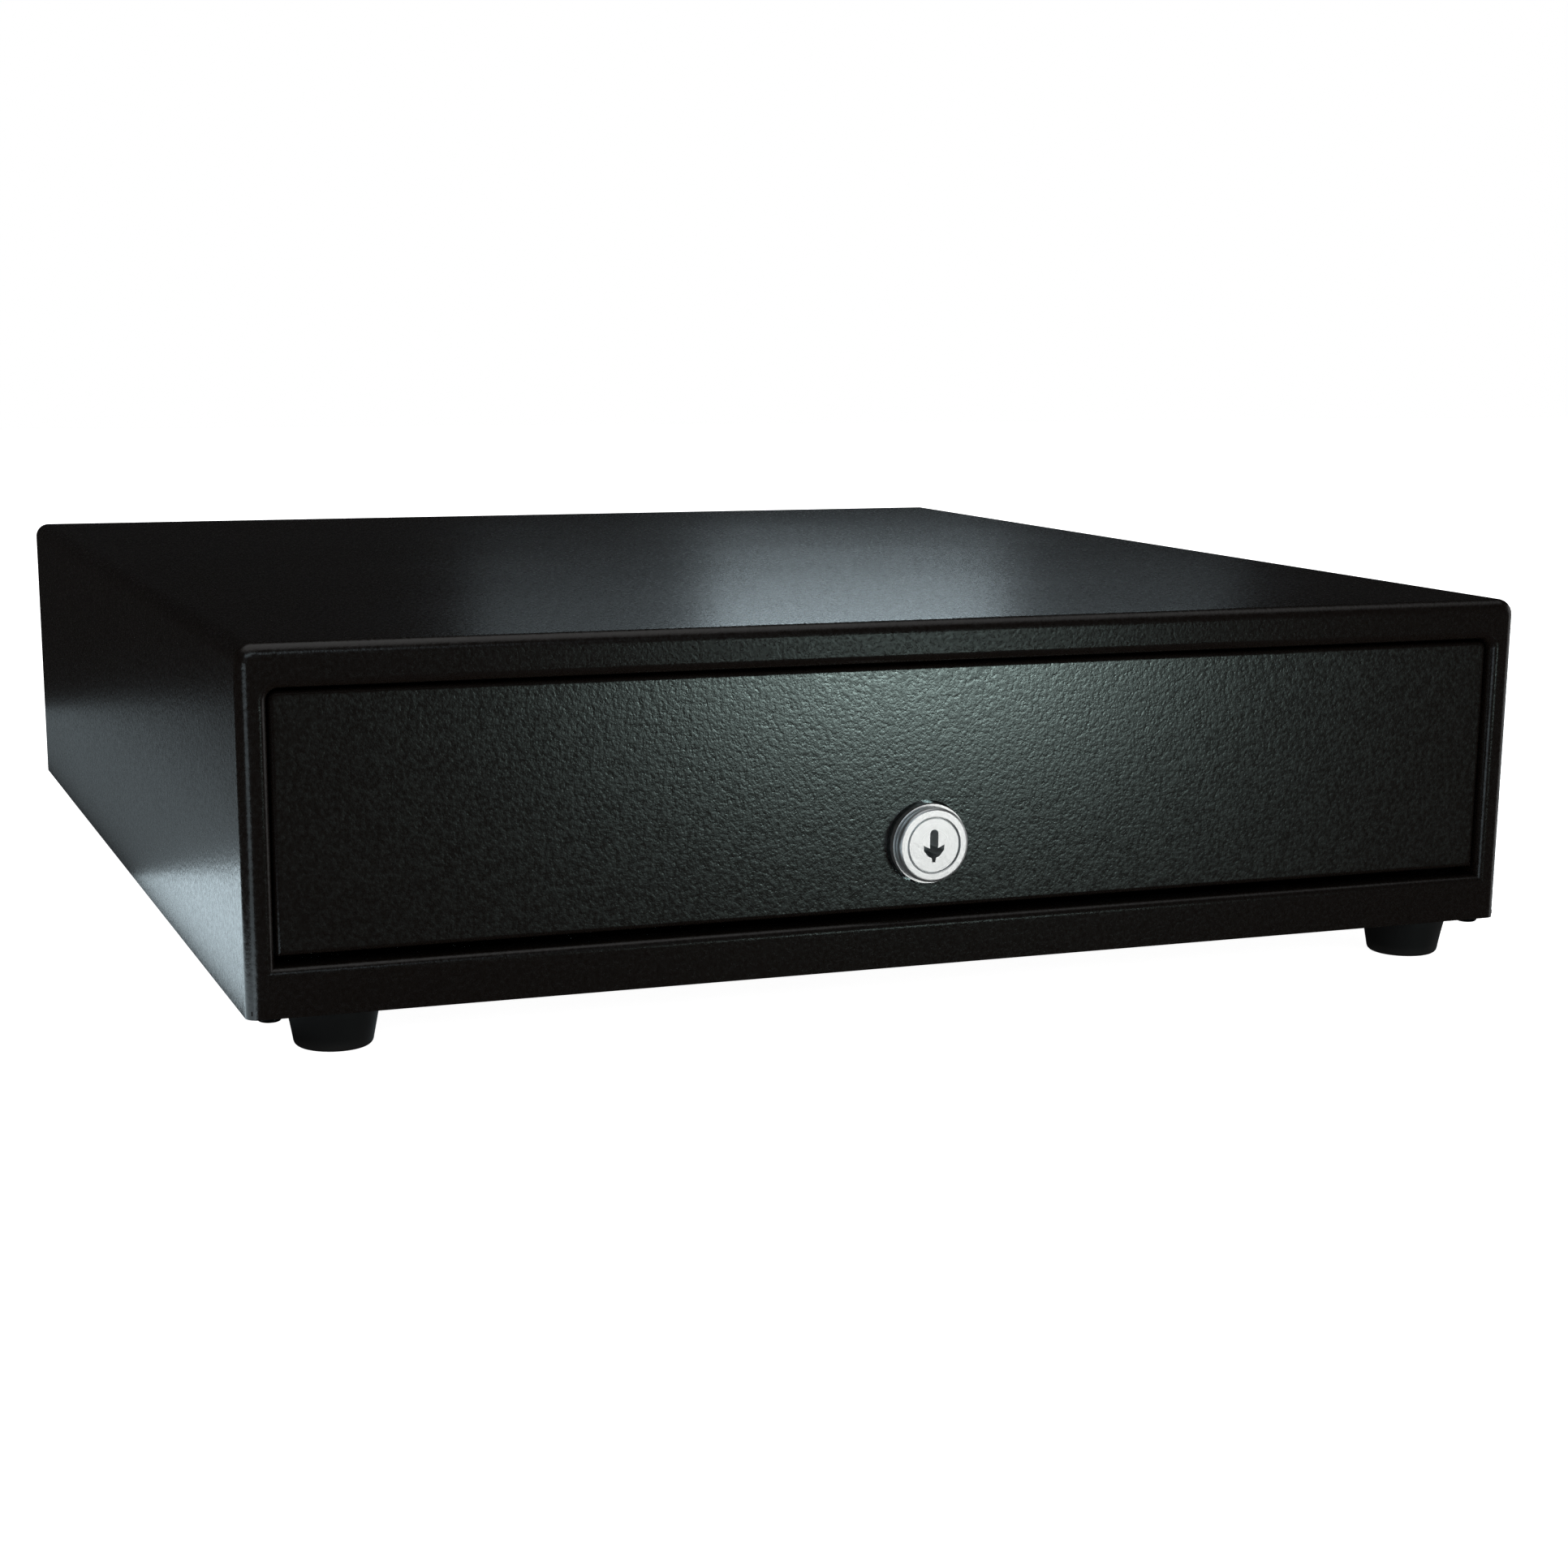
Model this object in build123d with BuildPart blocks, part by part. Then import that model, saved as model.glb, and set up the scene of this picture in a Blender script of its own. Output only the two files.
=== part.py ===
from build123d import *
from math import cos, radians, sin
import os

# A counter-top cash drawer: a powder-coated steel case on four rubber feet, with a drawer that
# runs out of its front on ball slides. The drawer holds a moulded till with note bays and coin
# cups. Behind it, in the back of the case, are the solenoid latch, the kick-out spring, the
# drawer switch and the interface board.
# Millimetres. X is to the right for somebody facing the drawer, Y runs to the back, Z is up.
# The origin is the middle of the footprint, on the surface that the feet stand on.

os.makedirs("parts", exist_ok=True)

# ---- driving dimensions ----
WIDTH = 400.0  # case, side to side
DEPTH = 442.0  # case, front face to rear panel
CASE_HEIGHT = 101.5  # case without its feet
FOOT_HEIGHT = 11.5
FOOT_X = 174.0  # feet, from the middle
FOOT_TOP_R, FOOT_BOTTOM_R = 12.9, 10.8
FOOT_BORE_R, FOOT_RECESS_R, FOOT_RECESS = 2.15, 4.4, 5.0
SCREW_X = 193.0  # base screws, from the middle
SCREW_HOLE_R = 2.1
SHEET = 1.2  # steel sheet of the case and the drawer front
LONG_BEND = 5.0  # bend from the top to the sides
FRONT_BEND = 3.5  # bend from the top and sides to the front frame
SIDE_STRIP = 8.0  # front frame beside the drawer
TOP_STRIP = 12.0  # front frame above the drawer
BOTTOM_STRIP = 14.0  # front frame below the drawer
CORNER = 3.5  # upper corners of the front opening
RIM_ROLL = 2.4  # rounding where the frame turns in round the opening
LIP = 8.0  # depth of the lip that turns in round the opening
FOOT_FLANGE = 9.0  # flange under the front frame, on the base plate

HALF_W = WIDTH / 2
FRONT = -DEPTH / 2
BACK = DEPTH / 2
BASE_Z = FOOT_HEIGHT
FLOOR_Z = BASE_Z + SHEET
TOP_Z = BASE_Z + CASE_HEIGHT
OPENING_HALF = HALF_W - SIDE_STRIP
OPENING_Z0 = BASE_Z + BOTTOM_STRIP
OPENING_Z1 = TOP_Z - TOP_STRIP

# ---- drawer ----
FACE_Y = FRONT + 2.2  # the drawer face stands just behind the frame
FACE_HALF = OPENING_HALF - 0.8
FACE_Z0 = OPENING_Z0 + 2.7
FACE_Z1 = OPENING_Z1 - 1.0
FACE_ROLL = 1.4  # rounding of the drawer face's edges
FACE_CORNER = CORNER - 1.0
FACE_RETURN = 10.0  # flanges behind the drawer face
PAN_SHEET = 1.0
PAN_HALF = 181.0
PAN_Z0 = FACE_Z0 + SHEET + 0.1
PAN_Z1 = 92.0
PAN_FRONT = FACE_Y + SHEET
PAN_WALL = -193.0  # front wall of the money space; the lock is in front of it
PAN_BACK = 150.0

# ---- lock ----
LOCK_Z = 48.0
BEZEL_R = 11.0
BEZEL_FRONT = FRONT - 4.0
FLANGE_R = BEZEL_R + 0.7  # second ring of the bezel
NECK_R = BEZEL_R - 0.4
BARREL_R = 9.4
PLUG_R = 8.1
PLUG_BORE_R = PLUG_R + 0.08
PLUG_SUNK = 0.15  # how far the plug's face lies behind the bezel
PLUG_END = -200.0
LOCK_HOLE_R = 12.4
CAM_LENGTH = 26.0
CAM_HALF_WIDTH = 6.0
CAM_SHEET = 2.0
TAIL_HALF = 3.5

# ---- ball slides, seen on the right; the left ones mirror them ----
SLIDE_Z = 60.0
RAIL = 1.2
OUTER_WEB, OUTER_TIP, OUTER_HALF = 193.8, 183.5, 18.0
MID_WEB, MID_TIP, MID_HALF = 191.1, 183.5, 13.6
INNER_WEB, INNER_TIP, INNER_HALF = PAN_HALF, 188.0, 9.2
OUTER_RAIL_Y, OUTER_RAIL_LENGTH = -205.0, 390.0
MID_RAIL_Y, MID_RAIL_LENGTH = -204.0, 370.0
INNER_RAIL_Y, INNER_RAIL_LENGTH = -212.0, 360.0
CAGE_Y, CAGE_LENGTH = -110.0, 170.0
BALL_R = 1.5
RIVET_YS = (-180.0, -10.0, 160.0)
RIVET_R = 2.0

# ---- till ----
TILL_HALF = 178.5
TILL_FRONT = PAN_WALL + PAN_SHEET + 1.0
TILL_BACK = PAN_BACK - PAN_SHEET - 1.0
TILL_Z0 = 44.0
TILL_Z1 = PAN_Z1 + 2.4
TILL_WALL = 2.4
BAYS = 5
BAY_FRONT = -45.0  # front of the note bays
CUP_COLUMNS = 4
CUP_ROWS = 2
CLIP_Y, CLIP_Z = 137.0, 87.0
CLIP_LENGTH = 105.0
CLIP_REST = 17.0  # degrees that an unused clip slopes down
CLIP_PIN_R = 1.5
CLIP_EAR = 15.0  # inner face of each hinge ear, from the middle of the bay

# ---- latch and solenoid, in the back of the case ----
HOOK_PIVOT = (4.0, 190.0)
HOOK_Z0, HOOK_Z1 = 47.0, 51.0
HOOK_SWING = 20.0
HOOK_TAIL = 14.0
STRIKER_Y = 160.0
STRIKER_R = 2.5
SHELF_Z = 44.0
PLUNGER_Y, PLUNGER_Z = 204.0, 56.0
PLUNGER_R = 4.7

bay_width = (2 * (TILL_HALF - TILL_WALL) - (BAYS - 1) * TILL_WALL) / BAYS
bay_xs = [(i - (BAYS - 1) / 2) * (bay_width + TILL_WALL) for i in range(BAYS)]
foot_spots = [(x, y) for x in (-FOOT_X, FOOT_X) for y in (-208.0, 200.0)]
base_screw_spots = [(x, y) for x in (-SCREW_X, SCREW_X) for y in (FRONT + 6.0, BACK - 8.0)]
rear_screw_spots = [(x, z) for x in (-192.0, 192.0) for z in (36.0, 96.0)]


def pan_screw(head_r, head_h, shank_r, length):
    """A cross-recessed pan-head screw: the head rises from the origin, the shank goes down."""
    with BuildPart() as screw:
        Cylinder(head_r, head_h, align=(Align.CENTER, Align.CENTER, Align.MIN))
        fillet(screw.faces().sort_by(Axis.Z)[-1].edges(), head_h * 0.55)
        Cylinder(shank_r, length, align=(Align.CENTER, Align.CENTER, Align.MAX))
        with Locations((0, 0, head_h)):
            Box(head_r, 0.8, head_h, mode=Mode.SUBTRACT)
            Box(0.8, head_r, head_h, mode=Mode.SUBTRACT)
    return screw.part


def coil_spring(radius, wire_r, turns, length):
    """An open coil of round wire that stands on the origin, along Z."""
    with BuildPart() as spring:
        with BuildLine() as line:
            Helix(pitch=(length - 2 * wire_r) / turns, height=length - 2 * wire_r, radius=radius)
        with BuildSketch(Plane(origin=line.line @ 0, z_dir=line.line % 0)):
            Circle(wire_r)
        sweep()
    return spring.part


# ================= case =================

# ---- case_shell: one sheet folded over the top and sides, with the whole front frame ----
with BuildPart() as case_shell:
    with BuildSketch(Plane.XZ.offset(-FRONT)) as outline:
        with Locations((0, BASE_Z)):
            Rectangle(WIDTH, CASE_HEIGHT, align=(Align.CENTER, Align.MIN))
        fillet(outline.vertices().group_by(Axis.Y)[-1], LONG_BEND)
    extrude(amount=-DEPTH)
    front_edges = case_shell.faces().sort_by(Axis.Y)[0].edges()
    fillet(front_edges.filter_by(lambda e: e.center().Z > BASE_Z + 1), FRONT_BEND)
    with BuildSketch(Plane.XZ.offset(-FRONT - SHEET)) as hollow:
        with Locations((0, BASE_Z - 5)):
            Rectangle(WIDTH - 2 * SHEET, CASE_HEIGHT + 5 - SHEET, align=(Align.CENTER, Align.MIN))
        fillet(hollow.vertices().group_by(Axis.Y)[-1], LONG_BEND - SHEET)
    extrude(amount=-DEPTH, mode=Mode.SUBTRACT)
    # the inside of the front bend
    inner = case_shell.edges().filter_by(
        lambda e: e.bounding_box().min.Y > FRONT + SHEET - 0.01
        and e.bounding_box().max.Y < FRONT + SHEET + 0.01
        and e.center().Z > BASE_Z + 1
    )
    fillet(inner, FRONT_BEND - SHEET)
    # the lip that turns in round the opening
    with BuildSketch(Plane.XZ.offset(-FRONT - 0.6)) as lip:
        with Locations((0, OPENING_Z0 - SHEET)):
            Rectangle(
                2 * (OPENING_HALF + SHEET),
                OPENING_Z1 - OPENING_Z0 + 2 * SHEET,
                align=(Align.CENTER, Align.MIN),
            )
        fillet(lip.vertices().group_by(Axis.Y)[-1], CORNER + SHEET)
    extrude(amount=-(LIP - 0.6))
    with BuildSketch(Plane.XZ.offset(-FRONT + 1)) as opening:
        with Locations((0, OPENING_Z0)):
            Rectangle(2 * OPENING_HALF, OPENING_Z1 - OPENING_Z0, align=(Align.CENTER, Align.MIN))
        fillet(opening.vertices().group_by(Axis.Y)[-1], CORNER)
    extrude(amount=-(LIP + 2), mode=Mode.SUBTRACT)
    rim = case_shell.edges().filter_by(
        lambda e: e.bounding_box().max.Y < FRONT + 0.01
        and e.center().Z > OPENING_Z0 - 0.5
        and e.center().Z < OPENING_Z1 + 0.5
        and abs(e.center().X) < OPENING_HALF + 0.5
    )
    fillet(rim, RIM_ROLL)
    # flange along the foot of the front frame, on top of the base plate
    with BuildSketch(Plane.XY.offset(FLOOR_Z + 0.02)):
        with Locations((0, FRONT + SHEET / 2)):
            Rectangle(WIDTH - 2 * SHEET, FOOT_FLANGE, align=(Align.CENTER, Align.MIN))
        with Locations(*[(x, y) for x, y in base_screw_spots if y < 0]):
            Circle(SCREW_HOLE_R, mode=Mode.SUBTRACT)
    extrude(amount=SHEET)
    # flange round the back, which the rear panel is screwed to
    with BuildSketch(Plane.XZ.offset(-BACK + SHEET)) as back_flange:
        with Locations((0, BASE_Z + 18)):
            Rectangle(WIDTH - SHEET, CASE_HEIGHT - 18 - SHEET / 2, align=(Align.CENTER, Align.MIN))
        fillet(back_flange.vertices().group_by(Axis.Y)[-1], LONG_BEND - SHEET / 2)
        with Locations((0, BASE_Z)):
            Rectangle(WIDTH - 28, CASE_HEIGHT - 12, align=(Align.CENTER, Align.MIN), mode=Mode.SUBTRACT)
        with Locations(*rear_screw_spots):
            Circle(SCREW_HOLE_R, mode=Mode.SUBTRACT)
    extrude(amount=SHEET)
case_shell.part.label = "case_shell"
export_step(case_shell.part, "parts/case_shell.step")

# ---- base_plate: the bottom, with edges turned up inside the shell ----
with BuildPart() as base_plate:
    with BuildSketch(Plane.XY.offset(BASE_Z)) as bottom:
        Rectangle(WIDTH - 2 * SHEET, DEPTH - 2 * SHEET)
        chamfer(bottom.vertices().group_by(Axis.Y)[0], FRONT_BEND - SHEET)
        with Locations(*foot_spots, *base_screw_spots):
            Circle(SCREW_HOLE_R, mode=Mode.SUBTRACT)
    extrude(amount=SHEET)
    with BuildSketch(Plane.XY.offset(FLOOR_Z)):
        for side in (-1, 1):
            with Locations((side * (HALF_W - 1.5 * SHEET), 14.0)):
                Rectangle(SHEET, DEPTH - 2 * SHEET - 28.0)
        with Locations((0, BACK - 1.5 * SHEET)):
            Rectangle(WIDTH - 2 * SHEET, SHEET)
    extrude(amount=14.0)
    # pressed ribs that stiffen the floor
    with BuildSketch(Plane.XY.offset(FLOOR_Z)):
        with Locations((-90, -20), (0, -20), (90, -20)):
            SlotOverall(220, 12, rotation=90)
    extrude(amount=2.0, taper=25)
base_plate.part.label = "base_plate"
export_step(base_plate.part, "parts/base_plate.step")

# ---- rear_panel, with the hole that the interface jack looks out of ----
JACK_X, JACK_Z = -148.0, 34.2
with BuildPart() as rear_panel:
    with BuildSketch(Plane.XZ.offset(-BACK + SHEET)) as panel:
        with Locations((0, BASE_Z)):
            Rectangle(
                WIDTH - 2 * SHEET - 0.2, CASE_HEIGHT - SHEET - 0.1, align=(Align.CENTER, Align.MIN)
            )
        fillet(panel.vertices().group_by(Axis.Y)[-1], LONG_BEND - SHEET)
        with Locations((JACK_X, JACK_Z)):
            Rectangle(14.0, 14.0, mode=Mode.SUBTRACT)
        with Locations(*rear_screw_spots):
            Circle(SCREW_HOLE_R, mode=Mode.SUBTRACT)
        with Locations((120.0, 60.0)):
            with GridLocations(10.0, 12.0, 6, 3):
                SlotOverall(8.0, 2.4, rotation=90, mode=Mode.SUBTRACT)
    extrude(amount=-SHEET)
rear_panel.part.label = "rear_panel"
export_step(rear_panel.part, "parts/rear_panel.step")

# ---- rubber_feet: four tapered feet with a recess for the fixing screw ----
with BuildPart() as foot:
    with BuildSketch(Plane.XZ) as section:
        with BuildLine():
            Polyline(
                (FOOT_BORE_R, FOOT_HEIGHT),
                (FOOT_TOP_R, FOOT_HEIGHT),
                (FOOT_TOP_R - 0.2, FOOT_HEIGHT - 1.6),
                (FOOT_BOTTOM_R, 0),
                (FOOT_RECESS_R, 0),
                (FOOT_RECESS_R, FOOT_RECESS),
                (FOOT_BORE_R, FOOT_RECESS),
                close=True,
            )
        make_face()
        fillet(section.vertices().sort_by_distance((FOOT_BOTTOM_R, 0)).first, 1.8)
    revolve(axis=Axis.Z)
with BuildPart() as rubber_feet:
    with Locations(*foot_spots):
        add(foot.part)
rubber_feet.part.label = "rubber_feet"
export_step(rubber_feet.part, "parts/rubber_feet.step")

# ---- foot_screws, head down in each foot ----
foot_screw = pan_screw(3.8, 2.2, 2.0, 12.0)
with BuildPart() as foot_screws:
    with Locations(*[Plane(origin=(x, y, FOOT_RECESS), z_dir=(0, 0, -1)) for x, y in foot_spots]):
        add(foot_screw)
foot_screws.part.label = "foot_screws"
export_step(foot_screws.part, "parts/foot_screws.step")

# ---- base_screws: base plate to shell, heads under the edge ----
base_screw = pan_screw(3.4, 1.8, 2.0, 6.0)
with BuildPart() as base_screws:
    with Locations(*[Plane(origin=(x, y, BASE_Z), z_dir=(0, 0, -1)) for x, y in base_screw_spots]):
        add(base_screw)
base_screws.part.label = "base_screws"
export_step(base_screws.part, "parts/base_screws.step")

# ---- rear_screws: rear panel to the shell's flange ----
rear_screw = pan_screw(3.6, 2.0, 2.0, 7.0)
with BuildPart() as rear_screws:
    with Locations(*[Plane(origin=(x, BACK, z), z_dir=(0, 1, 0)) for x, z in rear_screw_spots]):
        add(rear_screw)
rear_screws.part.label = "rear_screws"
export_step(rear_screws.part, "parts/rear_screws.step")


# ================= slides =================


def channel(side, web_x, tip_x, half_height, y_front, length):
    """A C-section slide member: its web stands at web_x and its flanges reach to tip_x."""
    inward = 1 if tip_x > web_x else -1
    with BuildPart() as member:
        with BuildSketch(Plane.XZ.offset(-y_front)):
            with Locations((side * (web_x + tip_x) / 2, SLIDE_Z)):
                Rectangle(abs(tip_x - web_x), 2 * half_height)
            with Locations((side * (web_x + tip_x + inward * RAIL) / 2, SLIDE_Z)):
                Rectangle(abs(tip_x - web_x) - RAIL, 2 * (half_height - RAIL), mode=Mode.SUBTRACT)
        extrude(amount=-length)
    return member.part


def ball_cage(side, web_x, tip_x, strip_z, ball_x):
    """A pressed ball cage with its row of balls above and below."""
    web = 0.7
    strip = 0.8
    spots = [(side * ball_x, CAGE_Y + 10 + 30 * i) for i in range(6)]
    with BuildPart() as cage:
        with BuildSketch(Plane.XZ.offset(-CAGE_Y)):
            with Locations((side * (web_x + tip_x) / 2, SLIDE_Z)):
                Rectangle(web_x - tip_x, 2 * strip_z + strip)
            with Locations((side * (web_x + tip_x - web) / 2, SLIDE_Z)):
                Rectangle(web_x - tip_x - web, 2 * strip_z - strip, mode=Mode.SUBTRACT)
        extrude(amount=-CAGE_LENGTH)
        with BuildSketch(Plane.XY.offset(SLIDE_Z - strip_z - 1)):
            with Locations(*spots):
                Circle(BALL_R + 0.15)
        extrude(amount=2 * strip_z + 2, mode=Mode.SUBTRACT)
        for level in (-strip_z, strip_z):
            with Locations(*[(x, y, SLIDE_Z + level) for x, y in spots]):
                Sphere(BALL_R)
    return cage.part


for name, side in (("left", -1), ("right", 1)):
    # outer member, riveted to its bracket
    with BuildPart() as outer_rail:
        add(channel(side, OUTER_WEB, OUTER_TIP, OUTER_HALF, OUTER_RAIL_Y, OUTER_RAIL_LENGTH))
        with Locations(*[Plane((side * OUTER_WEB, y, SLIDE_Z), z_dir=(side, 0, 0)) for y in RIVET_YS]):
            Hole(RIVET_R + 0.05, depth=RAIL + 0.5)
    outer_rail.part.label = f"{name}_outer_rail"
    export_step(outer_rail.part, f"parts/{name}_outer_rail.step")

    # middle member
    with BuildPart() as mid_rail:
        add(channel(side, MID_WEB, MID_TIP, MID_HALF, MID_RAIL_Y, MID_RAIL_LENGTH))
        with Locations(
            *[Plane((side * MID_WEB, y, SLIDE_Z), z_dir=(side, 0, 0)) for y in (-150.0, 0.0, 120.0)]
        ):
            Hole(5.0, depth=RAIL + 0.5)
    mid_rail.part.label = f"{name}_mid_rail"
    export_step(mid_rail.part, f"parts/{name}_mid_rail.step")

    # inner member, on the side of the drawer pan
    with BuildPart() as inner_rail:
        add(channel(side, INNER_WEB, INNER_TIP, INNER_HALF, INNER_RAIL_Y, INNER_RAIL_LENGTH))
        with Locations(
            *[
                Plane((side * (INNER_WEB + RAIL), y, SLIDE_Z), z_dir=(side, 0, 0))
                for y in (-190.0, -30.0, 130.0)
            ]
        ):
            Hole(2.5, depth=RAIL + 0.5)
    inner_rail.part.label = f"{name}_inner_rail"
    export_step(inner_rail.part, f"parts/{name}_inner_rail.step")

    # ball cages: the outer one runs in the outer member, the inner one in the middle member
    outer_cage = ball_cage(side, 192.2, 184.6, 15.2, 187.5)
    outer_cage.label = f"{name}_outer_ball_cage"
    export_step(outer_cage, f"parts/{name}_outer_ball_cage.step")
    inner_cage = ball_cage(side, 189.2, 184.0, 10.8, 186.3)
    inner_cage.label = f"{name}_inner_ball_cage"
    export_step(inner_cage, f"parts/{name}_inner_ball_cage.step")

    # bracket that carries the outer member
    with BuildPart() as rail_bracket:
        with BuildSketch(Plane.XZ.offset(203.0)):
            with BuildLine():
                Polyline(
                    (side * OUTER_WEB, FLOOR_Z),
                    (side * (HALF_W - 2 * SHEET - 0.2), FLOOR_Z),
                    (side * (HALF_W - 2 * SHEET - 0.2), FLOOR_Z + SHEET),
                    (side * (OUTER_WEB + SHEET), FLOOR_Z + SHEET),
                    (side * (OUTER_WEB + SHEET), 86.0),
                    (side * OUTER_WEB, 86.0),
                    close=True,
                )
            make_face()
        extrude(amount=-393.0)
        with Locations(
            *[Plane((side * (OUTER_WEB + SHEET), y, SLIDE_Z), z_dir=(side, 0, 0)) for y in RIVET_YS]
        ):
            Hole(RIVET_R + 0.05, depth=SHEET + 0.5)
    rail_bracket.part.label = f"{name}_rail_bracket"
    export_step(rail_bracket.part, f"parts/{name}_rail_bracket.step")

# ---- rail_rivets: flush inside the outer members, domed outside the brackets ----
with BuildPart() as rivet:
    Cylinder(3.6, 1.1, align=(Align.CENTER, Align.CENTER, Align.MIN))
    fillet(rivet.faces().sort_by(Axis.Z)[-1].edges(), 0.8)
    Cylinder(RIVET_R, RAIL + SHEET, align=(Align.CENTER, Align.CENTER, Align.MAX))
with BuildPart() as rail_rivets:
    with Locations(
        *[
            Plane((side * (OUTER_WEB + SHEET), y, SLIDE_Z), z_dir=(side, 0, 0))
            for side in (-1, 1)
            for y in RIVET_YS
        ]
    ):
        add(rivet.part)
rail_rivets.part.label = "rail_rivets"
export_step(rail_rivets.part, "parts/rail_rivets.step")

# ================= drawer =================

# ---- drawer_front: a folded face with rounded edges and the clearance hole for the lock ----
with BuildPart() as drawer_front:
    with BuildSketch(Plane.XZ.offset(-FACE_Y)) as face:
        with Locations((0, FACE_Z0)):
            Rectangle(2 * FACE_HALF, FACE_Z1 - FACE_Z0, align=(Align.CENTER, Align.MIN))
        fillet(face.vertices().group_by(Axis.Y)[-1], FACE_CORNER)
    extrude(amount=-FACE_RETURN)
    fillet(drawer_front.faces().sort_by(Axis.Y)[0].edges(), FACE_ROLL)
    with BuildSketch(Plane.XZ.offset(-FACE_Y - SHEET)) as inside:
        with Locations((0, FACE_Z0 + SHEET)):
            Rectangle(
                2 * (FACE_HALF - SHEET), FACE_Z1 - FACE_Z0 - 2 * SHEET, align=(Align.CENTER, Align.MIN)
            )
        fillet(inside.vertices().group_by(Axis.Y)[-1], FACE_CORNER - SHEET)
    extrude(amount=-FACE_RETURN, mode=Mode.SUBTRACT)
    with Locations(Plane((0, FACE_Y, LOCK_Z), z_dir=(0, -1, 0))):
        Hole(LOCK_HOLE_R, depth=SHEET + 1)
drawer_front.part.label = "drawer_front"
export_step(drawer_front.part, "parts/drawer_front.step")

# ---- drawer_pan: floor, sides and back, with a wall that closes off the lock space ----
with BuildPart() as drawer_pan:
    with BuildSketch(Plane.XY.offset(PAN_Z0)):
        with Locations((0, PAN_FRONT)):
            Rectangle(2 * PAN_HALF, PAN_BACK - PAN_FRONT, align=(Align.CENTER, Align.MIN))
    extrude(amount=PAN_Z1 - PAN_Z0)
    with BuildSketch(Plane.XY.offset(PAN_Z0 + PAN_SHEET)):
        with Locations((0, PAN_WALL + PAN_SHEET)):
            Rectangle(
                2 * (PAN_HALF - PAN_SHEET),
                PAN_BACK - PAN_WALL - 2 * PAN_SHEET,
                align=(Align.CENTER, Align.MIN),
            )
        with Locations((0, PAN_FRONT - 1)):
            Rectangle(
                2 * (PAN_HALF - PAN_SHEET), PAN_WALL - PAN_FRONT + 1, align=(Align.CENTER, Align.MIN)
            )
    extrude(amount=PAN_Z1, mode=Mode.SUBTRACT)
    # tabs that meet the back of the drawer face
    with BuildSketch(Plane.XZ.offset(-PAN_FRONT)):
        with Locations((-173.0, 61.0), (173.0, 61.0)):
            Rectangle(15.0, 54.0)
    extrude(amount=-PAN_SHEET)
    # slot that the lock's cam turns down through
    with BuildSketch(Plane.XY.offset(PAN_Z0 - 1)):
        with Locations((9.0, -198.8)):
            Rectangle(36.0, 7.0)
    extrude(amount=PAN_SHEET + 2, mode=Mode.SUBTRACT)
drawer_pan.part.label = "drawer_pan"
export_step(drawer_pan.part, "parts/drawer_pan.step")

# ---- front_nuts: nuts on the studs that hold the drawer face to the pan ----
with BuildPart() as front_nuts:
    for x in (-173.0, 173.0):
        for z in (44.0, 78.0):
            with BuildSketch(Plane.XZ.offset(-PAN_FRONT - PAN_SHEET)):
                with Locations((x, z)):
                    RegularPolygon(4.0, 6)
            extrude(amount=-3.2)
            with BuildSketch(Plane.XZ.offset(-PAN_FRONT - PAN_SHEET - 3.2)):
                with Locations((x, z)):
                    Circle(2.0)
            extrude(amount=-2.0)
front_nuts.part.label = "front_nuts"
export_step(front_nuts.part, "parts/front_nuts.step")

# ---- lock_bracket: the plate behind the drawer face that carries the lock ----
BRACKET_Y = FACE_Y + 6.0
BRACKET_SHEET = 1.5
with BuildPart() as lock_bracket:
    with BuildSketch(Plane.XZ.offset(-BRACKET_Y)) as plate:
        with Locations((0, LOCK_Z + 5.0)):
            Rectangle(56.0, 42.0)
        fillet(plate.vertices(), 4.0)
        with Locations((0, LOCK_Z)):
            Circle(BARREL_R + 0.05, mode=Mode.SUBTRACT)
    extrude(amount=-BRACKET_SHEET)
    # feet that reach forward to the drawer face
    with BuildSketch(Plane.XZ.offset(-PAN_FRONT)):
        with Locations((-26.0, LOCK_Z + 5.0), (26.0, LOCK_Z + 5.0)):
            Rectangle(3.0, 34.0)
    extrude(amount=-(BRACKET_Y - PAN_FRONT))
lock_bracket.part.label = "lock_bracket"
export_step(lock_bracket.part, "parts/lock_bracket.step")

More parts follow.
